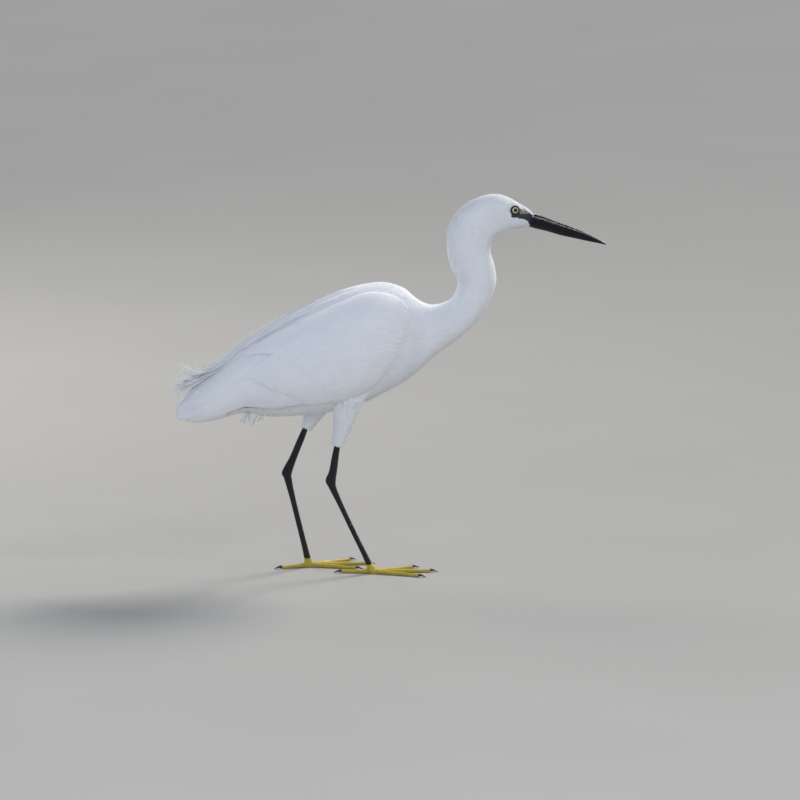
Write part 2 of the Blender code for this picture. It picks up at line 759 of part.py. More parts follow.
NOSTRIL = ((160.6, 366.0, 0.25), (162.4, 365.5, 0.6), (165.2, 364.6, 0.6), (167.4, 363.9, 0.25))


def make_nostril(side):
    """A slit half sunk in the side of the upper bill."""
    rows = []
    for x, z, size in NOSTRIL:
        place = (x - BILL[0][0]) / (BILL[1][0] - BILL[0][0])
        half = smooth_row(BILL, place)[4] / MM
        rows.append((x, side * half * 0.9, z, size, size))
    return tube("nostril_cutter", rows, 5, 5, UPRIGHT)


EYE_CENTRE = (134.0, 377.2)
EYE_RADIUS = 4.6
EYE_INSET = 8.6
LID_RING = 4.0
LID_THICK = 0.85
MOUTH_LINE = ((133.0, 368.6), (138.0, 367.0), (145.0, 364.7), (150.5, 363.0), (156.0, 361.4))
MOUTH_DEPTH = 0.75


def make_ball(name, centre, radius, across, around, material=None):
    """A ball with its poles to the left and right."""
    rings = []
    for index in range(across + 1):
        turn = math.pi * (index + 0.35) / (across + 0.7)
        flat = radius * math.sin(turn)
        offset = -radius * math.cos(turn)
        ring = []
        for side in range(around):
            angle = 2 * math.pi * side / around
            step = np.array((flat * math.cos(angle), offset, flat * math.sin(angle)))
            ring.append(np.array(centre) + step)
        rings.append(np.array(ring))
    return skin_rings(name, rings, material)


def eye_place(side):
    """Centre of an eyeball, in metres."""
    return np.array((EYE_CENTRE[0] * MM, side * EYE_INSET * MM, EYE_CENTRE[1] * MM))


def head_spot(x, z):
    """Place and turn on the head's left side that show at a given x and z from the side."""
    place, turn = 18.0, math.radians(80)
    for _ in range(12):
        here = surface_point(NECK, place, turn)
        step = 0.01
        by_place = (surface_point(NECK, place + step, turn) - here) / step
        by_turn = (surface_point(NECK, place, turn + step) - here) / step
        miss = np.array((x * MM - here[0], z * MM - here[2]))
        change = np.linalg.solve(np.array(((by_place[0], by_turn[0]), (by_place[2], by_turn[2]))), miss)
        place += float(change[0])
        turn += float(change[1])
    return place, turn


def make_lid_ring(side):
    """A ring of lid skin lying on the head round an eye."""
    place, turn = head_spot(*EYE_CENTRE)
    here = surface_point(NECK, place, turn) * np.array((1.0, side, 1.0))
    out = surface_point(NECK, place, turn, MM) * np.array((1.0, side, 1.0)) - here
    turned = Vector((0.0, 0.0, 1.0)).rotation_difference(Vector(out)).to_euler()
    bpy.ops.mesh.primitive_torus_add(
        location=here,
        rotation=turned,
        major_segments=12,
        minor_segments=4,
        major_radius=LID_RING * MM,
        minor_radius=LID_THICK * MM,
    )
    return bpy.context.object


def make_mouth_groove(side):
    """A thin bar along the line of the mouth, half sunk in the side of the head."""
    rows = []
    for x, z in MOUTH_LINE:
        point = surface_point(NECK, *head_spot(x, z)) / MM
        rows.append((point[0], point[1] * side, point[2], MOUTH_DEPTH, MOUTH_DEPTH))
    return tube("mouth_cutter", rows, 5, 5, UPRIGHT)


def make_head(material):
    """The head, with lids round its sockets and the line of the mouth."""
    head = loft("head", NECK, HEAD_CUT, 19, NECK_SIDES, material)
    combine(head, [make_lid_ring(-1), make_lid_ring(1), *make_nape_locks()])
    cutters = [make_mouth_groove(-1), make_mouth_groove(1)]
    for side in (-1, 1):
        cutters.append(make_ball("socket", eye_place(side), EYE_RADIUS * MM + GAP, 6, 12))
    return combine(head, cutters, "DIFFERENCE")


def main():
    for thing in list(bpy.data.objects):
        bpy.data.objects.remove(thing)
    random.seed(SEED)
    white = make_material("white_feathers", (0.9, 0.9, 0.92), 0.75)
    black = make_material("black_horn", (0.015, 0.015, 0.02), 0.35)
    yellow = make_material("yellow_skin", (0.62, 0.5, 0.06), 0.5)
    claw = make_material("claw_horn", (0.03, 0.028, 0.025), 0.4)
    eye = make_material("eye", (0.75, 0.68, 0.2), 0.1)
    torso = loft("torso", BODY, (0.0, RUMP_PLACE), 20, BODY_SIDES, white)
    combine(torso, make_plumes() + make_breast_plumes() + make_undertail_tuft())
    for name, span in NECK_CUTS.items():
        loft(name, NECK, span, 6, NECK_SIDES, white)
    make_head(white)
    for label, side, thigh, leg in (("right", -1, THIGH_RIGHT, LEG_RIGHT), ("left", 1, THIGH_LEFT, LEG_LEFT)):
        make_wing("wing_" + label, side, white)
        cutter = loft("cutter", BODY, (0.0, RUMP_PLACE), 24, BODY_SIDES, lift=GAP)
        make_thigh("thigh_" + label, thigh, white, cutter)
        tube("leg_" + label, whole_leg(thigh, leg), 13, 9, SIDEWAYS, black)
        make_foot("foot_" + label, leg, side, yellow)
        for toe in TOES:
            make_claw("claw_{}_{}".format(label, toe), leg, side, toe, claw)
        make_ball("eye_" + label, eye_place(side), EYE_RADIUS * MM, 6, 12, eye)
    make_tail(white)
    make_bill_half("bill_upper", True, black)
    make_bill_half("bill_lower", False, black)


main()
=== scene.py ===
"""Looks of the little egret: skin, feathers, face, bill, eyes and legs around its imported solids."""

import math
from contextlib import contextmanager

import bmesh
import bpy
import numpy as np
from bpy.props import FloatProperty, FloatVectorProperty, IntProperty, PointerProperty
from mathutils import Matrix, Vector


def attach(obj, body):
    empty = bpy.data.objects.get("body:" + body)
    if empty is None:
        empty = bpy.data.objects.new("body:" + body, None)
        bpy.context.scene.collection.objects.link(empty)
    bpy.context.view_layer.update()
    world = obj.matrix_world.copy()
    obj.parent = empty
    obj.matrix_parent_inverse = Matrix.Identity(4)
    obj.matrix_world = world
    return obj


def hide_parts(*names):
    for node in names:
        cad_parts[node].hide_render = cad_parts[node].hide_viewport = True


bl_info = {
    "name": "Little Egret Looks",
    "version": (1, 0, 0),
    "blender": (4, 5, 0),
    "location": "3D View > Sidebar > Egret",
    "description": "Dresses the solids of a little egret in skin, feathers and horn",
    "category": "Object",
}

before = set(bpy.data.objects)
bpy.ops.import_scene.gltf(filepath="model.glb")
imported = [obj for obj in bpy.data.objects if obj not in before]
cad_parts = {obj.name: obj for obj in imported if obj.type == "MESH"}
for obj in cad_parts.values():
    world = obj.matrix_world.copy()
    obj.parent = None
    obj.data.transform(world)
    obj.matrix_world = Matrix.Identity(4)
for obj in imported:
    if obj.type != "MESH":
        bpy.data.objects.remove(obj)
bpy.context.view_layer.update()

MM = 0.001
TURNS = 2 * math.pi
ALL_ROUND = (0.0, TURNS)
SIDES = {"right": -1, "left": 1}

# Rings of the torso, from the root of the neck to the rump and on over the folded wings, as the
# solids have them. Each row, in millimetres: back x, back z, belly x, belly z, half width.
NECK_ROOT = (44, 278, 28, 206, 29)
BODY = (
    NECK_ROOT,
    (33, 283.3, 13, 196, 34),
    (19, 295.5, -4, 188, 38),
    (0, 301.5, -22, 180, 41),
    (-20, 300, -40, 174, 42.5),
    (-42, 291, -58, 169.5, 42),
    (-64, 281, -76, 167, 40),
    (-86, 270, -93, 166, 37),
    (-107, 259.5, -109, 165.5, 33),
    (-126, 249, -124, 166, 28.5),
    (-142, 239, -136, 168.5, 24.5),
    (-156, 229, -148, 171, 21.5),
    (-172, 216.5, -163, 167.5, 19),
    (-189, 203.5, -183, 161.5, 16),
    (-205.5, 190, -203, 158, 12.5),
    (-217.5, 177, -218.5, 159, 8),
)

# Rings of the neck and head, from the breast to the root of the bill: nape, throat and half width.
NECK = (
    NECK_ROOT,
    (52, 277, 52, 227, 26),
    (61, 278.7, 71, 240, 23.5),
    (69.5, 283.3, 88, 254, 21),
    (74.5, 290.5, 101, 269.5, 19.5),
    (76.5, 299, 110.5, 287, 18),
    (75.2, 307, 115, 303, 17),
    (70.2, 315, 113, 318.5, 16.5),
    (66.8, 326, 109.3, 331, 16.4),
    (65.4, 337, 109.5, 339, 16.4),
    (65.4, 348.8, 112, 346.5, 16.4),
    (67.5, 359.5, 117, 351.6, 16.3),
    (71.9, 368.1, 123.5, 354.2, 16.2),
    (77.5, 375.5, 130, 355.6, 16.2),
    (86, 382.3, 136, 356.4, 16.3),
    (97.7, 389.6, 141, 357.1, 16.4),
    (109, 392.8, 145, 357.8, 16),
    (120, 392.3, 148, 358.2, 14.6),
    (131, 388.2, 150, 358.4, 12.2),
    (141, 381.8, 151.2, 358.2, 9.8),
    (152, 374.8, 152, 357, 7.4),
)

# Rings of the bill's root, which the forehead's feathers reach over.
BILL_ROOT = ((156.5, 372.5, 156.5, 356, 6.2), (161, 370.4, 161, 354.6, 5.5))

# Middle of an eyeball and the way it looks, and how the head is pressed flat round it: height of the
# flat over the ball's middle, radius of the flat, and width of the slope round it.
EYE_CENTRE = (133.7, 9.3, 376.9)
EYE_LOOK = (0.10, 1.0, 0.15)
EYE_SEAT = (2.85, 5.1, 4.2)

# Feathered thighs: centre x, y, z and thickness to the front and to the side.
THIGHS = {
    "right": (
        (-41, -14, 197, 13, 10),
        (-42, -17, 186, 15, 11.5),
        (-43.5, -19, 178, 14.4, 11.5),
        (-45, -19.8, 170, 12.6, 11),
        (-47.3, -19.3, 158, 9.8, 9.4),
        (-50.2, -18.2, 146, 7.4, 7.6),
        (-53.3, -17, 134.6, 5.8, 6.2),
    ),
    "left": (
        (-62, 14, 193, 11, 9),
        (-65, 16.5, 182, 12.6, 10.5),
        (-69, 18.6, 171, 11.8, 10.6),
        (-74.5, 18.8, 161, 9.3, 9),
        (-78.5, 18, 153.5, 7.2, 7.4),
        (-81.4, 17.2, 147.8, 5.9, 6.2),
    ),
}

# The folded wing lies over the torso, in two directions of its own from 0 to 1: from the leading
# edge to the tip, and from the back down to the lower edge. Front and back count the torso's rings,
# top and low are turns from the back in degrees, rim and swell are heights in millimetres.
WING_FRONT = ((0, 1.75), (0.2, 1.62), (0.42, 1.7), (0.6, 1.95), (0.72, 2.25), (0.86, 2.8), (1, 3.9))
WING_TOP = ((0, 40), (0.15, 28), (0.3, 20.5), (0.5, 14), (0.7, 9.5), (1, 6))
WING_LOW = ((0, 140), (0.1, 137), (0.25, 135), (0.5, 138), (0.7, 140), (0.85, 147), (1, 152))
WING_BACK = 15.0
WING_BACK_TOP_CUT = 1.15
WING_BACK_LOW_CUT = 0.9
WING_RIM = 1.7
WING_SWELL = ((0, 3), (0.12, 6.5), (0.35, 6), (0.7, 3.4), (1, 1.2))
TIP_DRAWN_IN = 0.86
PLUME_HEIGHT = (
    (2, 0), (3.6, 0.6), (4, 1.6), (4.5, 3.8), (5, 5.6), (6, 7.2), (9.5, 7.4), (12, 6.2), (14, 5.2)
)
MANTLE_WIDTH = 9.0
MANTLE_SINK = 1.0
MANTLE_BLEND = 1.2
FULLNESS = 2.15


def blend_table(table, at):
    """Values of a table of pairs at places between them."""
    places, values = zip(*table)
    return np.interp(at, places, values)


def spline_rows(rows, place):
    """Rows at places counted in rows, on a smooth curve through all the rows, in metres."""
    rows = np.asarray(rows, float)
    last = len(rows) - 1
    index = np.clip(place.astype(int), 0, last - 1)
    step = (place - index)[:, None]
    before = rows[np.maximum(index - 1, 0)]
    start = rows[index]
    end = rows[index + 1]
    after = rows[np.minimum(index + 2, last)]
    bend = (2 * before - 5 * start + 4 * end - after) * step**2
    bend = bend + (3 * start - before - 3 * end + after) * step**3
    return 0.5 * (2 * start + (end - before) * step + bend) * MM


def unit(vectors):
    """Vectors at length one."""
    return vectors / np.maximum(np.linalg.norm(vectors, axis=-1, keepdims=True), 1e-12)


def smooth_step(values):
    """Values held between 0 and 1 with a soft start and end."""
    held = np.clip(values, 0.0, 1.0)
    return held * held * (3 - 2 * held)


def rounded(values):
    """Sines or cosines filled out, so that a ring is a little squarer than an ellipse."""
    return np.sign(values) * np.abs(values) ** (2 / FULLNESS)


def off_back(turns):
    """Turns round a ring as degrees away from its top, the same on both sides."""
    return np.degrees(np.abs((turns + math.pi) % TURNS - math.pi))


def eye_axis(side):
    """The way an eye looks: out of the head to its side, a little forward."""
    return Vector((EYE_LOOK[0], EYE_LOOK[1] * side, EYE_LOOK[2])).normalized()


def eye_centre(side):
    """Middle of an eyeball."""
    return Vector((EYE_CENTRE[0] * MM, EYE_CENTRE[1] * MM * side, EYE_CENTRE[2] * MM))


class Form:
    """A shape that skin and feathers lie on, with two directions of its own."""

    step = 0.02

    def lifted(self, a, b, lift=0.0):
        """Points at a height in metres over the form."""
        point, normal = self.frame(a, b)[:2]
        return point + normal * np.asarray(lift).reshape(-1, 1)

    def frame(self, a, b):
        """Points of the form, its outward directions, and its slopes along both directions."""
        point = self.point(a, b)
        along = (self.point(a + self.step, b) - self.point(a - self.step, b)) / (2 * self.step)
        around = (self.point(a, b + self.step) - self.point(a, b - self.step)) / (2 * self.step)
        normal = unit(np.cross(along, around))
        outward = np.sum(normal * (point - self.core(a, b)), axis=1, keepdims=True)
        return point, np.where(outward < 0, -normal, normal), along, around


class RingForm(Form):
    """A form drawn by rings across the middle plane, such as the torso or the neck."""

    def __init__(self, rows):
        self.rows = rows

    def core(self, a, b):
        values = spline_rows(self.rows, a)
        middle = (values[:, 0] + values[:, 2]) / 2
        return np.stack((middle, np.zeros(len(a)), (values[:, 1] + values[:, 3]) / 2), axis=1)

    def point(self, a, b):
        values = spline_rows(self.rows, a)
        up_x = (values[:, 0] - values[:, 2]) / 2
        up_z = (values[:, 1] - values[:, 3]) / 2
        high = rounded(np.cos(b))
        wide = rounded(np.sin(b))
        return self.core(a, b) + np.stack((up_x * high, values[:, 4] * wide, up_z * high), axis=1)


class HeadForm(RingForm):
    """The neck and head, pressed flat round the eyes."""

    def point(self, a, b):
        points = super().point(a, b)
        level, flat, slope = EYE_SEAT
        for side in SIDES.values():
            axis = np.array(eye_axis(side))
            away = points - np.array(eye_centre(side))
            high = away @ axis
            reach = np.linalg.norm(away - high[:, None] * axis, axis=1) / MM
            press = smooth_step(1 - (reach - flat) / slope) * (points[:, 1] * side > 0)
            points = points + axis * ((level * MM - high) * press)[:, None]
        return points


class TubeForm(Form):
    """A form drawn by rings along a bent line, such as a thigh."""

    def __init__(self, rows):
        self.rows = rows

    def core(self, a, b):
        return spline_rows(self.rows, a)[:, :3]

    def point(self, a, b):
        values = spline_rows(self.rows, a)
        run = unit(self.core(a + 0.05, b) - self.core(a - 0.05, b))
        across = unit(np.cross(run, np.array((0.0, 1.0, 0.0))))
        upright = np.cross(across, run)
        front = across * (values[:, 3] * np.cos(b))[:, None]
        return values[:, :3] + front + upright * (values[:, 4] * np.sin(b))[:, None]


def wing_height(forward, down):
    """How high a folded wing's outer face stands over the torso, in millimetres."""
    inside = np.maximum(np.sin(math.pi * np.clip(down, 0.0, 1.0)), 0.0) ** 0.6
    ramp = np.sqrt(np.clip((forward + 0.02) / 0.12, 0.0, 1.0))
    return WING_RIM + blend_table(WING_SWELL, forward) * inside * ramp


class WingForm(Form):
    """The outer face of a folded wing, over the torso."""

    step = 0.004

    def __init__(self, body, side):
        self.body = body
        self.side = side
        self.mirror = np.array((1.0, side, 1.0))

    def spot(self, a, b):
        """Ring and turn of a place on the wing."""
        front = blend_table(WING_FRONT, b)
        back = WING_BACK - WING_BACK_TOP_CUT * (1 - np.minimum(b / 0.5, 1.0)) ** 2
        back = back - WING_BACK_LOW_CUT * (np.maximum(b - 0.6, 0.0) / 0.4) ** 2
        top = blend_table(WING_TOP, a)
        low = blend_table(WING_LOW, a)
        return front + (back - front) * a, np.radians(top + (low - top) * b)

    def core(self, a, b):
        return self.body.core(*self.spot(a, b)) * self.mirror

    def point(self, a, b):
        place, turn = self.spot(a, b)
        points = self.body.lifted(place, turn, wing_height(a, b) * MM)
        points[:, 1] *= 1 - TIP_DRAWN_IN * smooth_step((a - 0.86) / 0.16)
        return points * self.mirror


ROOT = len(BODY) - 1
BODY_FORM = RingForm(BODY)
NECK_FORM = HeadForm(NECK)
WHOLE_FORM = HeadForm(tuple(reversed(BODY)) + NECK[1:])
BROW_FORM = HeadForm(NECK + BILL_ROOT)
WING_FORMS = {side: WingForm(BODY_FORM, sign) for side, sign in SIDES.items()}
THIGH_FORMS = {side: TubeForm(rows) for side, rows in THIGHS.items()}


def wing_place(place, turn):
    """Where a ring and a turn in degrees of the torso lie on the folded wing."""
    form = WING_FORMS["left"]
    down = np.full(place.shape, 0.3)
    for _ in range(5):
        front = form.spot(np.zeros(place.shape), down)[0]
        back = form.spot(np.ones(place.shape), down)[0]
        forward = (place - front) / (back - front)
        top = blend_table(WING_TOP, forward)
        low = blend_table(WING_LOW, forward)
        down = np.clip((turn - top) / (low - top), -0.5, 1.5)
    return forward, down


class OuterForm(Form):
    """The outside of the whole bird, from rump to bill, with the wings and back plumes on it."""

    step = 0.04

    def core(self, a, b):
        return WHOLE_FORM.core(a, b)

    def point(self, a, b):
        return WHOLE_FORM.lifted(a, b, self.height(ROOT - a, off_back(b)))

    def height(self, place, turn):
        """How high the coat stands over the torso, in metres."""
        forward, down = wing_place(place, turn)
        wing = wing_height(forward, down)
        wing = wing * smooth_step((forward + 0.05) / 0.09) * smooth_step((down + 0.06) / 0.1)
        wing = wing * smooth_step((1.05 - down) / 0.09)
        width = blend_table(WING_TOP, forward) + MANTLE_WIDTH
        plumes = np.maximum(blend_table(PLUME_HEIGHT, place) - MANTLE_SINK, 0.0)
        mantle = plumes * np.exp(-((turn / width) ** 4))
        high = np.maximum(wing, mantle)
        low = np.minimum(wing, mantle)
        blend = np.clip(1 - (high - low) / (2 * MANTLE_BLEND), 0.0, 1.0)
        return (high + 0.5 * MANTLE_BLEND * blend * blend) * MM


OUTER_FORM = OuterForm()


def length_of(name, description, default):
    """A setting for a length."""
    return FloatProperty(name=name, description=description, default=default, unit="LENGTH")


def colour_of(name, description, default):
    """A setting for a colour."""
    return FloatVectorProperty(name=name, description=description, default=default, subtype="COLOR")


class EgretSizes(bpy.types.PropertyGroup):
    """Sizes of the skin, coat and face."""

    body_coat: length_of("Body coat", "Depth of the skin under the body's outline", 0.0010)
    head_coat: length_of("Head coat", "Depth of the skin under the head's outline", 0.0004)
    eye_radius: length_of("Eyeball", "Radius of the eyeball", 0.0046)
    seed: IntProperty(name="Seed", description="Start of the random draws", default=7, min=0)


class EgretColours(bpy.types.PropertyGroup):
    """Colours of the plumage and of the bare parts."""

    white: colour_of("Plumage", "White of the feathers", (0.87, 0.875, 0.885))
    # A warmer, darker white: random patches of the skin's down, and painted shade mixed in at the feathers'
    # roots where they lie under their neighbours.
    cream_and_root_shade: colour_of("Cream", "Warmer white at the feathers' roots", (0.80, 0.77, 0.71))
    horn: colour_of("Bill", "Black of the bill", (0.003, 0.0032, 0.005))
    lores: colour_of("Lores", "Grey-olive bare skin before the eye", (0.17, 0.165, 0.115))
    gape: colour_of("Gape", "Dark skin along the mouth", (0.018, 0.02, 0.032))
    iris: colour_of("Iris", "Pale yellow of the iris", (0.80, 0.74, 0.42))
    leg: colour_of("Leg", "Black of the bare legs", (0.007, 0.0075, 0.010))
    toe: colour_of("Toe", "Yellow of the feet", (0.62, 0.47, 0.05))


class EgretStage(bpy.types.PropertyGroup):
    """Place of the camera."""

    azimuth: FloatProperty(
        name="Azimuth", description="Turn of the camera round the bird",
        default=math.radians(-8), subtype="ANGLE",
    )
    elevation: FloatProperty(
        name="Elevation", description="Height of the view", default=math.radians(10), subtype="ANGLE"
    )
    distance: length_of("Distance", "Camera to bird", 8.0)
    view_width: length_of("Width of view", "Width that the picture shows at the bird", 0.832)


def settings():
    """The sizes, colours and stage settings of the scene."""
    scene = bpy.context.scene
    return scene.egret_sizes, scene.egret_colours, scene.egret_stage


def tint(name):
    """A colour of the settings as a plain tuple."""
    return tuple(getattr(settings()[1], name))


def dice(step):
    """Random draws of a group of pieces, always the same ones."""
    return np.random.default_rng(settings()[0].seed + step)


# Meshes.

PATCH = 0.003


def link_mesh(name, points, faces, uvs=None, shades=None):
    """A mesh object from arrays. Faces are equal rows of corners; uvs go with the points."""
    mesh = bpy.data.meshes.new(name)
    points = np.ascontiguousarray(points, np.float32)
    faces = np.ascontiguousarray(faces, np.int32)
    mesh.vertices.add(len(points))
    mesh.vertices.foreach_set("co", points.ravel())
    mesh.loops.add(faces.size)
    mesh.loops.foreach_set("vertex_index", faces.ravel())
    mesh.polygons.add(len(faces))
    mesh.polygons.foreach_set("loop_start", np.arange(len(faces), dtype=np.int32) * faces.shape[1])
    mesh.update(calc_edges=True)
    for label, values in (uvs or {}).items():
        layer = mesh.uv_layers.new(name=label)
        layer.data.foreach_set("uv", np.ascontiguousarray(values[faces.ravel()], np.float32).ravel())
    if shades is not None:
        shade = mesh.attributes.new("shade", "FLOAT", "POINT")
        shade.data.foreach_set("value", np.ascontiguousarray(shades, np.float32))
    mesh.validate()
    thing = bpy.data.objects.new(name, mesh)
    bpy.context.scene.collection.objects.link(thing)
    return thing


def finish_piece(piece, material, nodes=(), sharp=60.0):
    """Shading, material, slot and body of a finished piece."""
    piece.data.materials.clear()
    piece.data.materials.append(material)
    piece.data.shade_smooth()
    if sharp:
        piece.data.set_sharp_from_angle(angle=math.radians(sharp))
    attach(piece, "root")
    if nodes:
        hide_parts(*nodes)


def added(kind, **values):
    """A basic shape, alone selected."""
    bpy.ops.object.select_all(action="DESELECT")
    getattr(bpy.ops.mesh, "primitive_%s_add" % kind)(**values)
    return bpy.context.object


def only(thing):
    """Leaves one object selected and active."""
    bpy.ops.object.select_all(action="DESELECT")
    thing.select_set(True)
    bpy.context.view_layer.objects.active = thing


def joined(name, pieces):
    """Several pieces as one."""
    only(pieces[0])
    for piece in pieces:
        piece.select_set(True)
    bpy.ops.object.join()
    pieces[0].name = name
    return pieces[0]


def settle(thing):
    """Puts a piece's place into its mesh."""
    only(thing)
    bpy.ops.object.transform_apply(location=True, rotation=True, scale=True)


@contextmanager
def editing(thing):
    """Edit mode on one object, with all of it selected."""
    only(thing)
    bpy.ops.object.mode_set(mode="EDIT")
    bpy.ops.mesh.select_all(action="SELECT")
    yield
    bpy.ops.object.mode_set(mode="OBJECT")


def apply_modifier(thing, kind, **values):
    """Adds a modifier with its values and applies it."""
    only(thing)
    modifier = thing.modifiers.new(kind.title(), kind)
    for key, value in values.items():
        setattr(modifier, key, value)
    bpy.ops.object.modifier_apply(modifier=modifier.name)


def cut_away(thing, tool, solver):
    """Takes one closed shape away from another."""
    apply_modifier(thing, "BOOLEAN", operation="DIFFERENCE", solver=solver, object=tool)
    bpy.data.objects.remove(tool)


def remesh(thing, voxel, rounds):
    """Lays one even, softened mesh over a shape."""
    only(thing)
    thing.data.remesh_voxel_size = voxel
    thing.data.remesh_voxel_adaptivity = 0.0
    bpy.ops.object.voxel_remesh()
    apply_modifier(thing, "SMOOTH", factor=0.5, iterations=rounds)


def face_outwards(thing, fill=False):
    """Turns the faces of a closed shape outwards, once its open ends are filled if need be."""
    shape = bmesh.new()
    shape.from_mesh(thing.data)
    if fill:
        bmesh.ops.holes_fill(shape, edges=[edge for edge in shape.edges if edge.is_boundary])
    bmesh.ops.recalc_face_normals(shape, faces=shape.faces[:])
    shape.to_mesh(thing.data)
    shape.free()
    return thing


def closed_loft(name, rings):
    """A closed shape through rings of equally many points."""
    rings = np.asarray(rings)
    count = rings.shape[1]
    side = np.arange(count)
    over = (side + 1) % count
    rows = (np.arange(rings.shape[0] - 1) * count)[:, None]
    faces = np.stack((rows + side, rows + over, rows + count + over, rows + count + side), axis=-1)
    return face_outwards(link_mesh(name, rings.reshape(-1, 3), faces.reshape(-1, 4)), fill=True)


def form_rings(form, places, lifts, count):
    """Rings of points round a form, at heights over it."""
    turns = np.arange(count) / count * TURNS
    rings = zip(places, lifts)
    return [form.lifted(np.full(count, place), turns, np.full(count, lift)) for place, lift in rings]


def vane_grid(rows, columns):
    """Corner numbers of one vane: an upper and a lower face that share their rim."""
    upper = np.arange(rows * columns).reshape(rows, columns)
    lower = upper.copy()
    inner = (rows - 2) * (columns - 2)
    lower[1:-1, 1:-1] = rows * columns + np.arange(inner).reshape(rows - 2, columns - 2)
    up = np.stack((upper[:-1, :-1], upper[1:, :-1], upper[1:, 1:], upper[:-1, 1:]), axis=-1)
    down = np.stack((lower[:-1, :-1], lower[:-1, 1:], lower[1:, 1:], lower[1:, :-1]), axis=-1)
    return np.concatenate((up.reshape(-1, 4), down.reshape(-1, 4)))


def lay_vanes(name, centres, normals, widths, thick, camber, columns, seats, random, dull=0.96):
    """Many closed vanes as one mesh.

    Centres and normals are arrays of vanes by rows, widths are half widths of each row, thick is the
    greatest thickness, camber the sag of the edges as a share of the half width, seats the places of
    the roots on the unwrapped skin, and dull the darkest shade of a vane.
    """
    count, rows = centres.shape[:2]
    shades = random.uniform(dull, 1.0, count)
    runs = unit(np.gradient(centres, axis=1))
    across = unit(np.cross(normals, runs))
    normals = unit(np.cross(runs, across))
    places = np.linspace(-1, 1, columns)
    bulge = 1 - np.abs(places) ** 1.5
    shares = np.linspace(0, 1, rows)
    swell = np.sin(np.pi * np.clip(shares, 0.02, 0.98)) ** 0.5
    edge = centres[:, :, None] + across[:, :, None] * (widths[..., None] * places)[..., None]
    sag = camber * widths[..., None] * places**2
    lens = 0.5 * thick * swell[None, :, None] * bulge
    upper = edge + normals[:, :, None] * (lens - sag)[..., None]
    lower = edge - normals[:, :, None] * (lens + sag)[..., None]
    upper = upper.reshape(count, -1, 3)
    lower = lower[:, 1:-1, 1:-1].reshape(count, -1, 3)
    points = np.concatenate((upper, lower), axis=1)
    u, v = np.meshgrid(np.linspace(0, 1, columns), shares)
    own = np.stack((u, v), axis=-1)
    own = np.concatenate((own.reshape(-1, 2), own[1:-1, 1:-1].reshape(-1, 2)))
    faces = vane_grid(rows, columns)
    faces = (faces[None] + (np.arange(count) * points.shape[1])[:, None, None]).reshape(-1, 4)
    patch = seats[:, None] + (own[None] - 0.5) * PATCH
    uvs = {"vane": np.tile(own, (count, 1)), "OFBake": patch.reshape(-1, 2)}
    return link_mesh(name, points.reshape(-1, 3), faces, uvs, np.repeat(shades, points.shape[1]))


def follow(form, a, b, lifts):
    """Centres and normals of vanes whose rows lie at places of a form, lifted over it in metres."""
    point, normal = form.frame(a.ravel(), b.ravel())[:2]
    point = point + normal * lifts.reshape(-1, 1)
    return point.reshape(*a.shape, 3), normal.reshape(*a.shape, 3)


def run_on(starts, steps, shares):
    """Places of the rows of vanes along their steps."""
    return starts[:, :1] + steps[:, :1] * shares, starts[:, 1:] + steps[:, 1:] * shares


def running_sum(values, step=1.0):
    """Sum between neighbouring values up to each of them."""
    return np.concatenate(((0.0,), np.cumsum((values[1:] + values[:-1]) / 2 * step)))


def spread(form, a_range, b_range, spacing, random, jitter=0.45):
    """Even, jittered starts over part of a form: as many in each patch of it as the patch is large."""
    rows = np.linspace(*a_range, 160)
    turns = np.linspace(*b_range, 90)
    a, b = np.meshgrid(rows, turns, indexing="ij")
    along, around = form.frame(a.ravel(), b.ravel())[2:]
    stretch = np.linalg.norm(along, axis=1).reshape(a.shape)
    patches = stretch * np.linalg.norm(around, axis=1).reshape(a.shape)
    pitch = spacing[0] / np.percentile(stretch, 60, axis=1)
    number = int(np.sum(1 / pitch) * abs(rows[1] - rows[0]))
    reach = running_sum(1 / pitch, abs(rows[1] - rows[0]))
    places = np.interp((np.arange(number) + 0.5) / number * reach[-1], reach, rows)
    starts = []
    for index, place in enumerate(places):
        nearest = int(np.argmin(np.abs(rows - place)))
        area = running_sum(patches[nearest] * pitch[nearest] * abs(turns[1] - turns[0]))
        count = max(int(area[-1] / (spacing[0] * spacing[1])), 1)
        shares = (np.arange(count) + 0.5 * (index % 2) + random.uniform(-jitter, jitter, count)) / count
        b = np.interp((shares % 1) * area[-1], area, turns)
        a = place + random.uniform(-jitter, jitter, count) * pitch[nearest]
        starts.append(np.stack((a, b), axis=1))
    return np.concatenate(starts)


def lie(form, starts, lengths, yaw, sense):
    """Steps in a form's own directions for vanes of given lengths, turned by a small yaw."""
    along, around = form.frame(starts[:, 0], starts[:, 1])[2:]
    step_a = sense * lengths * np.cos(yaw) / np.linalg.norm(along, axis=1)
    step_b = lengths * np.sin(yaw) / np.linalg.norm(around, axis=1)
    return np.stack((step_a, step_b), axis=1)


def unwrapped(starts):
    """Places of the roots on the skin's own unwrap: turn across and length up, both from 0 to 1."""
    low = starts.min(axis=0)
    span = np.maximum(starts.max(axis=0) - low, 1e-6)
    return 0.01 + 0.98 * ((starts - low) / span)[:, ::-1]


# Materials. Every colour and bump reads Object coordinates, the feathers' own map or an attribute.


def dimmed(colour, share):
    """A colour made darker."""
    return tuple(value * share for value in colour)


